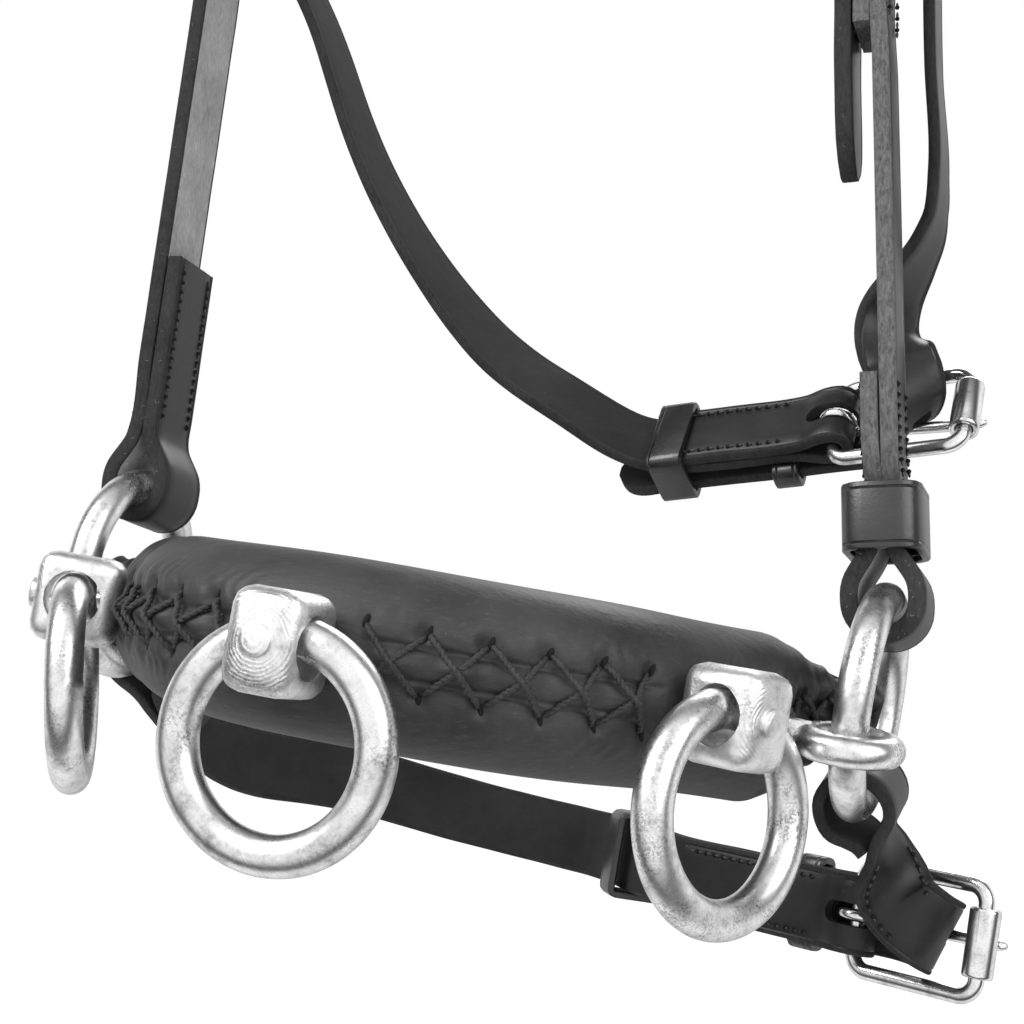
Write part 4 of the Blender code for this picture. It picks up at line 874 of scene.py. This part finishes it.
def stitchTree():
    tree, given = newGroup("stitchRow", "Pitch", "Length", "Thickness", "Hole radius")
    curve = add(tree, "GeometryNodeMeshToCurve", {0: given[0]}).outputs[0]
    ball = add(tree, "GeometryNodeMeshUVSphere", {"Segments": 8, "Rings": 6, "Radius": 0.5})
    thick = given["Thickness"]
    sizes = add(tree, "ShaderNodeCombineXYZ", {0: thick, 1: thick, 2: given["Length"]})
    capsule = add(tree, "GeometryNodeTransform", {0: ball.outputs[0], "Scale": sizes.outputs[0]})
    points = spacedPoints(tree, curve, given["Pitch"])
    threads = add(tree, "GeometryNodeInstanceOnPoints", {0: points[0], "Instance": capsule.outputs[0],
                                                         "Rotation": points["Rotation"]})
    # the holes lie half a pitch on, between the thread pieces
    half = add(tree, "ShaderNodeMath", {0: given["Pitch"], 1: 0.5}, operation="MULTIPLY")
    whole = add(tree, "GeometryNodeSplineLength", {})
    trimmed = add(tree, "GeometryNodeTrimCurve", {0: curve, 4: half.outputs[0], 5: whole.outputs[0]},
                  mode="LENGTH")
    # each hole is a small near-black sphere, painted shade in the pricked hole
    pit = add(tree, "GeometryNodeMeshUVSphere", {"Segments": 8, "Rings": 4, "Radius": given["Hole radius"]})
    spots = spacedPoints(tree, trimmed.outputs[0], given["Pitch"])
    pits = add(tree, "GeometryNodeInstanceOnPoints", {0: spots[0], "Instance": pit.outputs[0]})
    both = add(tree, "GeometryNodeJoinGeometry", {0: realised(tree, threads.outputs[0], thread)})
    tree.links.new(realised(tree, pits.outputs[0], holeShade), both.inputs[0])
    add(tree, "NodeGroupOutput", {0: both.outputs[0]})
    return tree


stitchSizes = {"Pitch": 0.0029, "Length": 0.0021, "Thickness": 0.00080, "Hole radius": 0.00068}
stitchPlace = {"lift": 0.00012, "inset": 0.0031, "billetAt": 0.072}


def stitchLines(track, start, end, grain, throughTo):
    # Two rows along a strap's grain side, and their other ends on the far side of what lies under it
    lines = []
    chosen = [i for i, s in enumerate(track["station"]) if start <= s <= end]
    sign = 1.0 if grain else -1.0
    above = track["thickness"] / 2.0 + stitchPlace["lift"]
    for edge in (-1.0, 1.0):
        for lift in [above] if throughTo is None else [above, -(above + throughTo)]:
            line = []
            for i in chosen:
                reach = track["width"][i] / 2.0 - stitchPlace["inset"]
                line.append(Vector(track["points"][i]) + Vector(track["across"][i]) * edge * reach
                            + Vector(track["up"][i]) * sign * lift)
            lines.append(line)
    return lines


# body, strap, where the rows start and end, and how far through; below 0 counts from the strap's far end
stitchRows = [("headpiece", "crown_strap", 0.003, 0.050, 0.0051),
              ("headpiece", "near_cheek_strap", 0.003, 0.016, 0.0051),
              ("headpiece", "near_cheek_strap", -0.042, -0.003, 0.0051),
              ("headpiece", "jowl_strap", 0.003, 0.043, None),
              ("headpiece", "jowl_strap", -0.021, -0.003, None),
              ("chin", "chin_strap", 0.003, 0.045, None),
              ("chin", "chin_strap", -0.015, -0.003, 0.0037),
              ("chin", "chin_billet", 0.063, 0.082, None)]
stitchGrain = dict(grainUp)
billet = tracks["chin_billet"]
seen = int(np.searchsorted(billet["station"], stitchPlace["billetAt"]))
toViewer = np.array(view["place"]) - billet["points"][seen]
stitchGrain["chin_billet"] = float(np.dot(billet["up"][seen], toViewer)) > 0.0
rows = defaultdict(list)
for body, strapName, start, end, throughTo in stitchRows:
    track = tracks[strapName]
    start, end = (s if s > 0.0 else track["length"] + s for s in (start, end))
    rows[body] += stitchLines(track, start, end, stitchGrain[strapName], throughTo)
stitches = stitchTree()
for body, lines in rows.items():
    handOver(grownOnLines(body + "Stitches", lines, stitches, stitchSizes), body, "black_leather")
print("stage: stitches made")

# the noseband's roll, its curve as in the CAD part
roll = {"arcRadius": 0.0637, "arcSpan": 0.1184, "flareStart": 0.086, "flareRadius": 0.085, "reach": 0.155,
        "height": 0.0455, "depth": 0.0365, "endHeight": 0.019, "endDepth": 0.015, "endRise": 0.004,
        "taperStart": 0.118, "taperEnd": 0.148, "shift": 0.0022, "setBack": 0.0872, "rise": 0.009,
        "inset": 0.0002, "steps": 150, "sides": 60, "fineSteps": 620, "fineSides": 132, "crowd": 0.45,
        "tableSteps": 400, "studStation": 0.084, "studHalf": 0.009, "studFade": 0.005}
lace = {"groups": ((-0.150, -0.101, 0.0098), (-0.072, -0.011, 0.0121), (0.0108, 0.0713, 0.0121),
                   (0.098, 0.150, 0.0098)),
        "half": 0.0075, "endShrink": 0.4, "lean": 0.0010, "radius": 0.00060, "strandOffset": 0.00036,
        "lay": 0.0034, "sides": 7, "under": 0.0011, "over": 0.0023, "dip": 0.0030, "dipPower": 7,
        "crossLean": 0.4, "steps": 24, "softenings": 3, "phasePace": 700.0, "castFrom": -0.06}
slitShape = {"sizes": (0.0008, 0.0007, 0.0019), "outside": 0.0006, "lean": 0.25, "lift": -0.0001}
noseMatrix = (Matrix.Translation((-0.009, -0.040, -0.386)) @ Matrix.Rotation(math.radians(9.2), 4, "Y")
              @ Matrix.Rotation(math.radians(-3.2), 4, "X"))


def rollHeading(station):
    near = min(station, roll["flareStart"])
    heading = (near - near ** 3 / (3.0 * roll["arcSpan"] ** 2)) / roll["arcRadius"]
    return heading - max(0.0, station - roll["flareStart"]) / roll["flareRadius"]


def rollTable():
    count = roll["tableSteps"]
    step = roll["reach"] / count
    xs, ys, hs = [0.0], [0.0], [0.0]
    for i in range(count):
        heading = rollHeading((i + 0.5) * step)
        xs.append(xs[-1] + math.cos(heading) * step)
        ys.append(ys[-1] + math.sin(heading) * step)
        hs.append(rollHeading((i + 1) * step))
    return np.linspace(0.0, roll["reach"], count + 1), np.array(xs), np.array(ys), np.array(hs)


tableS, tableX, tableY, tableH = rollTable()


def taper(station):
    share = min(1.0, max(0.0, (abs(station) - roll["taperStart"]) / (roll["taperEnd"] - roll["taperStart"])))
    return share * share * (3.0 - 2.0 * share)


def rollFrame(station):
    side = 1.0 if station >= 0.0 else -1.0
    goal = abs(station)
    x, y, h = (float(np.interp(goal, tableS, table)) for table in (tableX, tableY, tableH))
    matrix = Matrix.Rotation(side * h, 4, "Z")
    matrix.translation = Vector((side * x - roll["shift"], y - roll["setBack"],
                                 roll["endRise"] * taper(station) - roll["rise"]))
    return noseMatrix @ matrix


def laceStations():
    stations = []
    for start, end, pitch in lace["groups"]:
        count = int(round((end - start) / pitch))
        stations.append([start + (end - start) * i / count for i in range(count + 1)])
    return stations


laceGroups = laceStations()


def laceReach(station):
    return lace["half"] * (1.0 - lace["endShrink"] * taper(station))


def rollPoint(station, turn, shrink=0.0):
    share = taper(station)
    height = roll["height"] + (roll["endHeight"] - roll["height"]) * share
    depth = roll["depth"] + (roll["endDepth"] - roll["depth"]) * share
    return Vector((0.0, -math.cos(turn) * (depth / 2.0 - shrink), math.sin(turn) * (height / 2.0 - shrink)))


def studShare(station):
    near = min(abs(station - s) for s in (0.0, roll["studStation"], -roll["studStation"]))
    return min(1.0, max(0.0, (near - roll["studHalf"]) / roll["studFade"]))


relief = {"unevenness": 0.00030, "waves": ((61.0, 190.0, 0.0), (23.0, -90.0, 1.0)),
          "seamHalf": 0.0066, "seamNarrowing": 0.35, "seamDepth": 0.0017, "endSeamDepth": 0.0030,
          "underStud": 0.3, "lipAt": 0.62, "lipWidth": 0.0007, "lipDepth": 0.0009,
          "pinch": 0.0022, "pinchBack": 0.0011, "pinchLong": 0.0021, "pinchTall": 0.0024,
          "lump": 0.0027, "lumpLong": 0.0036, "lumpTall": 0.0030, "laceRange": 0.02,
          "pucker": 0.00011, "puckerAt": 0.0105, "puckerReach": 0.0045,
          "puckerPace": 1430.0, "puckerSwings": ((2.0, 700.0), (1.7, 311.0)),
          "endFolds": 0.0007, "foldPaces": (900.0, 260.0)}


def rollRelief(station, z, front):
    # How far the leather stands out from the plain roll
    rise = relief["unevenness"]
    for along, up, start in relief["waves"]:
        rise *= math.sin(station * along + z * up + start)
    if not front:
        return rise
    free, share = studShare(station), taper(station)
    half = relief["seamHalf"] * (1.0 - relief["seamNarrowing"] * share)
    seam = math.exp(-(abs(z) / half) ** 4) * (relief["seamDepth"] + relief["endSeamDepth"] * share)
    rise -= seam * (relief["underStud"] + (1.0 - relief["underStud"]) * free)
    lip = math.exp(-((abs(z) - half * relief["lipAt"]) / relief["lipWidth"]) ** 2)
    rise -= lip * relief["lipDepth"] * free * (1.0 - share)
    for group in laceGroups:
        if not group[0] - relief["laceRange"] < station < group[-1] + relief["laceRange"]:
            continue
        for i, s in enumerate(group):
            for sign in (1.0, -1.0):
                along = station - (s + (lace["lean"] if sign < 0 else 0.0) - relief["pinchBack"])
                gap = (along / relief["pinchLong"]) ** 2 \
                    + ((z - sign * laceReach(station)) / relief["pinchTall"]) ** 2
                rise -= relief["pinch"] * math.exp(-gap) * free
            if i:
                along = station - (s + group[i - 1]) / 2.0 - lace["lean"] / 2.0
                gap = (along / relief["lumpLong"]) ** 2 + (z / relief["lumpTall"]) ** 2
                rise += relief["lump"] * math.exp(-gap) * free * (1.0 - share)
    (swing, pace), (drift, slowPace) = relief["puckerSwings"]
    pucker = math.sin(station * relief["puckerPace"] + swing * math.sin(z * pace)
                      + drift * math.sin(station * slowPace))
    near = math.exp(-((abs(z) - relief["puckerAt"]) / relief["puckerReach"]) ** 2)
    rise += pucker * relief["pucker"] * near * free
    pace, climb = relief["foldPaces"]
    return rise + relief["endFolds"] * share * math.sin(station * pace + z * climb)


def makeRoll(name, steps, sides, crowd=0.0):
    # crowd packs the rows towards the front, where the seam is
    points, places = [], []
    for i in range(steps + 1):
        station = roll["reach"] * (2.0 * i / steps - 1.0)
        matrix = rollFrame(station)
        for k in range(sides):
            turn = 2.0 * math.pi * k / sides
            turn -= crowd * math.sin(turn)
            p = rollPoint(station, turn, roll["inset"])
            points.append(matrix @ p)
            places.append((station, turn, p.z))
    faces = []
    for i in range(steps):
        for k in range(sides):
            m = (k + 1) % sides
            faces.append((i * sides + k, i * sides + m, (i + 1) * sides + m, (i + 1) * sides + k))
    faces.append(tuple(range(sides)))
    faces.append(tuple(steps * sides + k for k in range(sides))[::-1])
    return meshObject(name, points, faces, [rollGrain]), places


settling = {"heldLoosely": 0.55, "seamHalf": 0.0095, "endsFrom": 0.112, "studFront": 0.3, "gravity": 0.3,
            "frames": 12, "mostShift": 0.0025}
leatherCloth = {"quality": 5, "mass": 0.6, "tension_stiffness": 60.0, "compression_stiffness": 60.0,
                "bending_stiffness": 4.0, "vertex_group_mass": "held", "use_pressure": True,
                "uniform_pressure_force": 1.2}


def settleRoll(cover, places):
    # The padding presses the leather out between its lacing and its studs
    pins = cover.vertex_groups.new(name="held")
    for index, (station, turn, z) in enumerate(places):
        front = math.cos(turn)
        atSeam = front > 0.0 and abs(z) < settling["seamHalf"]
        atStud = studShare(station) < 1.0 and front > settling["studFront"]
        fixed = atSeam or atStud or abs(station) > settling["endsFrom"]
        pins.add([index], 1.0 if fixed else settling["heldLoosely"], "REPLACE")
    cloth = cover.modifiers.new("leather", "CLOTH")
    for key, value in leatherCloth.items():
        setattr(cloth.settings, key, value)
    cloth.settings.effector_weights.gravity = settling["gravity"]
    cloth.collision_settings.use_collision = False
    cloth.point_cache.frame_start = 1
    cloth.point_cache.frame_end = settling["frames"]
    for number in range(1, settling["frames"] + 1):
        bpy.context.scene.frame_set(number)
        cover.evaluated_get(bpy.context.evaluated_depsgraph_get()).data.vertices[0].co.copy()
    bakeShape(cover)
    bpy.context.scene.frame_set(1)
    cover.vertex_groups.clear()


def dressRoll(cover, places):
    mesh = cover.data
    mesh.update()
    co = np.zeros(len(mesh.vertices) * 3)
    facing = np.zeros(len(mesh.vertices) * 3)
    mesh.vertices.foreach_get("co", co)
    mesh.vertex_normals.foreach_get("vector", facing)
    rises = [rollRelief(station, z, math.cos(turn) > 0.0) for station, turn, z in places]
    co += facing * np.repeat(rises, 3)
    mesh.vertices.foreach_set("co", co)
    mesh.update()
    mesh.shade_smooth()


def settledShift():
    # How far the simulation moves each place of the roll, as a table over station and turn
    rough, places = makeRoll("nosebandRough", roll["steps"], roll["sides"])
    before = np.array([v.co for v in rough.data.vertices])
    settleRoll(rough, places)
    shift = np.array([v.co for v in rough.data.vertices]) - before
    shift = shift.reshape(roll["steps"] + 1, roll["sides"], 3)
    bpy.data.objects.remove(rough, do_unlink=True)
    lengths = np.linalg.norm(shift, axis=2, keepdims=True)
    return shift * np.minimum(1.0, settling["mostShift"] / np.maximum(lengths, 1e-9))


def carryShift(cover, places, shift):
    steps, sides = roll["steps"], roll["sides"]
    for vertex, (station, turn, z) in zip(cover.data.vertices, places):
        i = (station / roll["reach"] + 1.0) / 2.0 * steps
        k = (turn / (2.0 * math.pi)) % 1.0 * sides
        i0 = min(int(i), steps - 1)
        k0, u, v = int(k) % sides, i - i0, k - int(k)
        k1 = (k0 + 1) % sides
        near = shift[i0, k0] * (1 - v) + shift[i0, k1] * v
        far = shift[i0 + 1, k0] * (1 - v) + shift[i0 + 1, k1] * v
        vertex.co += Vector(near * (1 - u) + far * u)


cover, rollPlaces = makeRoll("nosebandRoll", roll["fineSteps"], roll["fineSides"], roll["crowd"])
carryShift(cover, rollPlaces, settledShift())
dressRoll(cover, rollPlaces)
handOver(cover, "noseband", "black_leather", "noseband_cover", "noseband_padding")
print("stage: noseband roll made")

# lacing: crossed arms of twisted thread over the seam
surface = surfaceOf(cover)


def onRoll(station, z, lift):
    matrix = rollFrame(station)
    start = matrix @ Vector((0.0, lace["castFrom"], z))
    direction = (matrix.to_3x3() @ Vector((0.0, 1.0, 0.0))).normalized()
    hit = surface.ray_cast(start, direction)[0]
    if hit is None:
        return matrix @ Vector((0.0, -roll["depth"] / 2.0, z))
    return hit - direction * lift


def softened(line):
    for number in range(lace["softenings"]):
        inner = [(line[m - 1] + line[m] * 2.0 + line[m + 1]) / 4.0 for m in range(1, len(line) - 1)]
        line = [line[0]] + inner + [line[-1]]
    return line


def twistedLine(points, phase):
    # Two strands round each other along a line
    strands = [[], []]
    total = 0.0
    for i, point in enumerate(points):
        ahead, behind = points[min(i + 1, len(points) - 1)], points[max(i - 1, 0)]
        along = (ahead - behind).normalized()
        if i:
            total += (point - points[i - 1]).length
        side = along.orthogonal().normalized() if i == 0 else (side - along * side.dot(along)).normalized()
        up = along.cross(side)
        for k in (0, 1):
            turn = phase + total * 2.0 * math.pi / lace["lay"] + k * math.pi
            strands[k].append(point + (side * math.cos(turn) + up * math.sin(turn)) * lace["strandOffset"])
    return strands


def laceTree():
    tree, given = newGroup("laceThread", "Thread radius")
    curve = add(tree, "GeometryNodeMeshToCurve", {0: given[0]})
    ring = add(tree, "GeometryNodeCurvePrimitiveCircle",
               {"Resolution": lace["sides"], "Radius": given["Thread radius"]})
    tube = add(tree, "GeometryNodeCurveToMesh",
               {"Curve": curve.outputs[0], "Profile Curve": ring.outputs[0], "Fill Caps": True})
    add(tree, "NodeGroupOutput", {0: realised(tree, tube.outputs[0], laceThread)})
    return tree


strandLines = []
for group in laceGroups:
    for station, onward in zip(group, group[1:]):
        for sign, lift, back in ((1.0, lace["under"], 0.0),
                                 (-1.0, lace["over"], lace["lean"] * lace["crossLean"])):
            line = []
            for k in range(lace["steps"] + 1):
                share = k / lace["steps"]
                dip = lace["dip"] * (abs(share - 0.5) * 2.0) ** lace["dipPower"]
                s = station + (onward - back - station) * share
                startZ, endZ = -sign * laceReach(station), sign * laceReach(onward)
                line.append(onRoll(s, startZ + (endZ - startZ) * share, lift - dip))
            strandLines += twistedLine(softened(line), station * lace["phasePace"])
lacing = grownOnLines("nosebandLacing", strandLines, laceTree(), {"Thread radius": lace["radius"]})
handOver(lacing, "noseband", "black_leather")
# near-black ellipsoids at the lace slits: painted shade in the slit openings
slits = bmesh.new()
for station in (s for group in laceGroups for s in group):
    for sign in (1.0, -1.0):
        turned = rollFrame(station).to_3x3() @ Matrix.Rotation(sign * slitShape["lean"], 3, "Y")
        place = turned.to_4x4() @ Matrix.Diagonal((*slitShape["sizes"], 1.0))
        z = sign * (laceReach(station) + slitShape["outside"])
        place.translation = onRoll(station, z, slitShape["lift"])
        bmesh.ops.create_uvsphere(slits, u_segments=10, v_segments=7, radius=1.0, matrix=place)
slitPiece = shapeObject("laceSlitsPaintedShade", slits, holeShade)
slitPiece.data.shade_smooth()
handOver(slitPiece, "noseband", "black_leather")
print("stage: lacing made")

# rings and the eyes of the nose iron: each kind's radius and the radius of its bar
ringSizes = {"lunge": (0.025, 0.005), "cheek": (0.02725, 0.00475), "eye": (0.0103, 0.00403), "wobble": 0.006}
for ringName, kind, weld in (("lunge_ring_centre", "lunge", 3.9), ("lunge_ring_near", "lunge", 1.0),
                             ("lunge_ring_off", "lunge", 2.4), ("cheek_ring_near", "cheek", 0.7),
                             ("cheek_ring_off", "cheek", 2.2)):
    points, faces = ringMesh(*planeOf(ringName), *ringSizes[kind], wobble=ringSizes["wobble"], weldTurn=weld)
    made = meshObject(plainName(ringName) + "Steel", points, faces, [ringSteel])
    handOver(made, bodyOf[ringName], "bright_steel", ringName)
eyePlace = {"halfSpan": 0.1134, "ringRadius": 0.02725, "drop": math.radians(25.0), "tilt": math.radians(8.0)}
for side in (1.0, -1.0):
    centre = noseMatrix @ Vector((side * eyePlace["halfSpan"],
                                  -eyePlace["ringRadius"] * math.cos(eyePlace["drop"]),
                                  -eyePlace["ringRadius"] * math.sin(eyePlace["drop"])))
    axis = noseMatrix.to_3x3() @ Vector((0.0, -math.sin(eyePlace["tilt"]), math.cos(eyePlace["tilt"])))
    points, faces = ringMesh(centre, axis, *ringSizes["eye"], steps=96, sides=24)
    made = meshObject("nearEyeSteel" if side > 0 else "offEyeSteel", points, faces, [ringSteel])
    handOver(made, "noseband", "bright_steel")
print("stage: rings made")

# studs, each with a small cap on its face
studShape = {"rounding": 0.0005, "cap": (0.0040, 0.0040, 0.0009), "capSunk": 0.0001, "marksAt": -0.042,
             "castFrom": 0.02, "sharpest": 35.0}
studStations = {"centre": 0.0, "near": roll["studStation"], "off": -roll["studStation"]}
for studName, station in studStations.items():
    nodeName = "lunge_stud_" + studName
    spot = rollFrame(station) @ Vector((0.0, studShape["marksAt"], 0.0))
    outward = (rollFrame(station).to_3x3() @ Vector((0.0, -1.0, 0.0))).normalized()
    steel = platedSteel(studName + "StudSteel", (spot, outward), streak=0.6, grain=0.5, rough=0.30)
    made = mergedCopy(nodeName, studName + "StudSteel", steel)
    roundEdges(made, studShape["rounding"], studShape["sharpest"])
    handOver(made, "noseband", "bright_steel", nodeName)
    hit = surfaceOf(made).ray_cast(spot + outward * studShape["castFrom"], -outward)[0]
    placed = outward.to_track_quat("Z", "Y").to_matrix().to_4x4() @ Matrix.Diagonal((*studShape["cap"], 1.0))
    placed.translation = hit - outward * studShape["capSunk"]
    cap = bmesh.new()
    bmesh.ops.create_uvsphere(cap, u_segments=32, v_segments=16, radius=1.0, matrix=placed)
    capPiece = shapeObject(studName + "StudDot", cap, steel)
    capPiece.data.shade_smooth()
    handOver(capPiece, "noseband", "bright_steel")
print("stage: studs made")


# buckles
def roundedPath(perCorner=14):
    half, corner = buckle["inside"] / 2.0 + buckle["wire"], buckle["corner"]
    path = []
    for cx, cy, turn in ((0.0, half, 0.0), (-buckle["length"], half, 0.5 * math.pi),
                         (-buckle["length"], -half, math.pi), (0.0, -half, 1.5 * math.pi)):
        inX = corner if cx < 0.0 else -corner
        inY = -corner if cy > 0.0 else corner
        for i in range(perCorner + 1):
            angle = turn + 0.5 * math.pi * i / perCorner
            x, y = cx + inX + corner * math.cos(angle), cy + inY + corner * math.sin(angle)
            path.append(Vector((x, y, 0.0)))
    return path


def densified(path):
    points = []
    for a, b in zip(path, path[1:] + path[:1]):
        parts = max(1, int((b - a).length / buckle["pathStep"]))
        points += [a.lerp(b, k / parts) for k in range(parts)]
    return points


def tonguePath(sideSign):
    # It hooks round the heel bar and lies on the roller
    hook = buckle["wire"] + buckle["play"] + buckle["tongue"]
    rise = buckle["roller"] + buckle["play"] + buckle["tongue"]
    path = []
    for i in range(33):
        turn = 0.5 * math.pi - 2.0 * math.pi * buckle["hookShare"] * (1.0 - i / 32)
        path.append(Vector((hook * math.cos(turn), 0.0, sideSign * hook * math.sin(turn))))
    for i in range(1, 31):
        share = i / 30
        ease = share * share * (3.0 - 2.0 * share)
        path.append(Vector((-(buckle["length"] + buckle["overhang"]) * share, 0.0,
                            sideSign * (hook + (rise - hook) * ease))))
    return path


def wire(matrix, path, sections, closed):
    # A closed path lies flat in the buckle's plane, and an open one stands across it
    turn, last = matrix.to_3x3(), len(path) - 1
    sides, ups = [], []
    for i in range(len(path)):
        ahead = path[(i + 1) % len(path)] if closed else path[min(i + 1, last)]
        behind = path[i - 1] if closed else path[max(i - 1, 0)]
        along = (ahead - behind).normalized()
        side = Vector((along.y, -along.x, 0.0)) if closed else Vector((0.0, 1.0, 0.0))
        sides.append(turn @ side)
        ups.append(turn @ (Vector((0.0, 0.0, 1.0)) if closed else along.cross(side)))
    return sweep([matrix @ point for point in path], sides, ups, sections, closed)


def rollerMesh(matrix, rounds=48):
    # A rolled tube with turned-in ends
    half = buckle["inside"] / 2.0 + buckle["wire"] - buckle["corner"] - buckle["rollerGap"]
    inner, outer = buckle["wire"] + buckle["play"], buckle["roller"]
    end = [(outer - inward, inset) for inward, inset in buckle["rim"]]
    end += [(inner + buckle["lip"], 0.0), (inner, buckle["rim"][1][1])]
    profile = [(r, inset - half) for r, inset in end[::-1]] + [(r, half - inset) for r, inset in end]
    count = len(profile)
    points, faces = [], []
    for i in range(rounds):
        turn, j = 2 * math.pi * i / rounds, (i + 1) % rounds
        points += [matrix @ Vector((r * math.cos(turn) - buckle["length"], y, r * math.sin(turn)))
                   for r, y in profile]
        faces += [(i * count + k, i * count + (k + 1) % count, j * count + (k + 1) % count, j * count + k)
                  for k in range(count)]
    return points, faces


for prefix, body in (("crown", "headpiece"), ("jowl", "headpiece"), ("chin", "chin")):
    matrix = buckleMatrix(prefix)
    path = tonguePath(-1.0 if prefix == "crown" else 1.0)
    slimming = [1.0] * (len(path) - len(buckle["slimming"])) + list(buckle["slimming"])
    bars = [circle((buckle["tongue"] - buckle["tongueInset"]) * slim, 16) for slim in slimming]
    bar = circle(buckle["wire"] - buckle["frameInset"], 20)
    shapes = {"frame": wire(matrix, densified(roundedPath()), bar, True), "roller": rollerMesh(matrix),
              "tongue": wire(matrix, path, bars, False)}
    for kind, (points, faces) in shapes.items():
        made = meshObject(prefix + "Buckle" + kind.capitalize(), points, faces, [buckleSteel])
        if kind == "roller":
            made.data.set_sharp_from_angle(angle=math.radians(55.0))
        carrier = body if kind == "frame" else prefix + "_" + kind
        handOver(made, carrier, "bright_steel", prefix + "_buckle_" + kind)
print("stage: buckles made")

# what is left of the frame keeps its own mesh
ironSteel = platedSteel("noseIronSteel", streak=0.5, grain=0.3, rough=0.3)
for node in nodes.values():
    if not node.hide_render:
        node.data.materials.clear()
        node.data.materials.append(ironSteel)

# floor, light and camera
white = (1.0, 1.0, 1.0, 1.0)
studio = {"floorHeight": -0.56, "floorSize": 6.0, "floorGrey": (0.86, 0.86, 0.86, 1.0), "floorRough": 0.9,
          "floorGlow": 1.12, "glowShare": 0.8, "worldLight": 0.55, "target": (-0.01, -0.06, -0.33),
          "front": (0.12, -0.92, 0.37), "tent": [(0.0, 0.55), (0.20, 0.95), (0.36, 0.90), (0.46, 0.10),
                                                 (0.58, 0.06), (0.68, 0.35), (0.77, 1.0), (1.0, 1.0)]}
lamps = {"keyLight": ((-0.7, -0.9, 0.6), 16.0, 0.8), "fillLight": ((1.1, -0.6, 0.1), 7.0, 0.9),
         "backLight": ((0.2, 1.1, 0.7), 9.0, 0.9)}


def makeFloor():
    reach = studio["floorSize"]
    points = [(x * reach, y * reach, studio["floorHeight"]) for x, y in ((-1, -1), (1, -1), (1, 1), (-1, 1))]
    material, tree, shader = newMaterial("paleFloor")
    feed(tree, shader, {"Base Color": studio["floorGrey"], "Roughness": studio["floorRough"]})
    glow = add(tree, "ShaderNodeEmission", {"Color": white, "Strength": studio["floorGlow"]})
    path = add(tree, "ShaderNodeLightPath", {})
    share = add(tree, "ShaderNodeMath", {0: path.outputs["Is Camera Ray"], 1: studio["glowShare"]},
                operation="MULTIPLY")
    mix = add(tree, "ShaderNodeMixShader", {0: share.outputs[0], 1: shader.outputs[0], 2: glow.outputs[0]})
    feed(tree, tree.nodes["Material Output"], {"Surface": mix.outputs[0]})
    floor = meshObject("floor", points, [(0, 1, 2, 3)], [material], smooth=False)
    floor.visible_glossy = False  # the steel mirrors the tent instead
    floor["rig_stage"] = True


def makeWorld():
    # The steel mirrors a white tent with dark gaps, and the camera sees plain white
    world = bpy.data.worlds.new("studioWorld")
    bpy.context.scene.world = world
    world.use_nodes = True
    tree = world.node_tree
    plain = tree.nodes["Background"]
    feed(tree, plain, {"Color": white, "Strength": studio["worldLight"]})
    backdrop = add(tree, "ShaderNodeBackground", {"Color": white})
    path = add(tree, "ShaderNodeLightPath", {})
    coords = add(tree, "ShaderNodeTexCoord", {})
    facing = mapped(tree, alongAxis(tree, coords.outputs["Generated"], studio["front"]), -1.0, 1.0)
    room = add(tree, "ShaderNodeBackground", {"Color": ramp(tree, facing, studio["tent"])})
    either = add(tree, "ShaderNodeMixShader",
                 {0: path.outputs["Is Glossy Ray"], 1: plain.outputs[0], 2: room.outputs[0]})
    mix = add(tree, "ShaderNodeMixShader",
              {0: path.outputs["Is Camera Ray"], 1: either.outputs[0], 2: backdrop.outputs[0]})
    feed(tree, tree.nodes["World Output"], {"Surface": mix.outputs[0]})


def makeLamps():
    for name, (place, power, width) in lamps.items():
        data = bpy.data.lights.new(name, "AREA")
        data.energy = power
        data.size = width
        lamp = addObject(name, data)
        lamp.location = place
        lamp.rotation_euler = (Vector(studio["target"]) - Vector(place)).to_track_quat("-Z", "Y").to_euler()


def makeCamera():
    data = bpy.data.cameras.new("camera")
    data.lens = view["lens"]
    data.sensor_width = view["sensor"]
    data.clip_start = view["clipStart"]
    ahead = Vector(view["ahead"]).normalized()
    right = Vector(view["right"])
    right = (right - ahead * right.dot(ahead)).normalized()
    matrix = Matrix((right, right.cross(ahead), -ahead)).transposed().to_4x4()
    matrix.translation = Vector(view["place"])
    camera = addObject("camera", data)
    camera.matrix_world = matrix
    bpy.context.scene.camera = camera


makeFloor()
makeWorld()
makeLamps()
makeCamera()
settings = bpy.context.scene.view_settings
settings.view_transform = "Standard"
print("stage: studio made")

low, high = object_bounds()
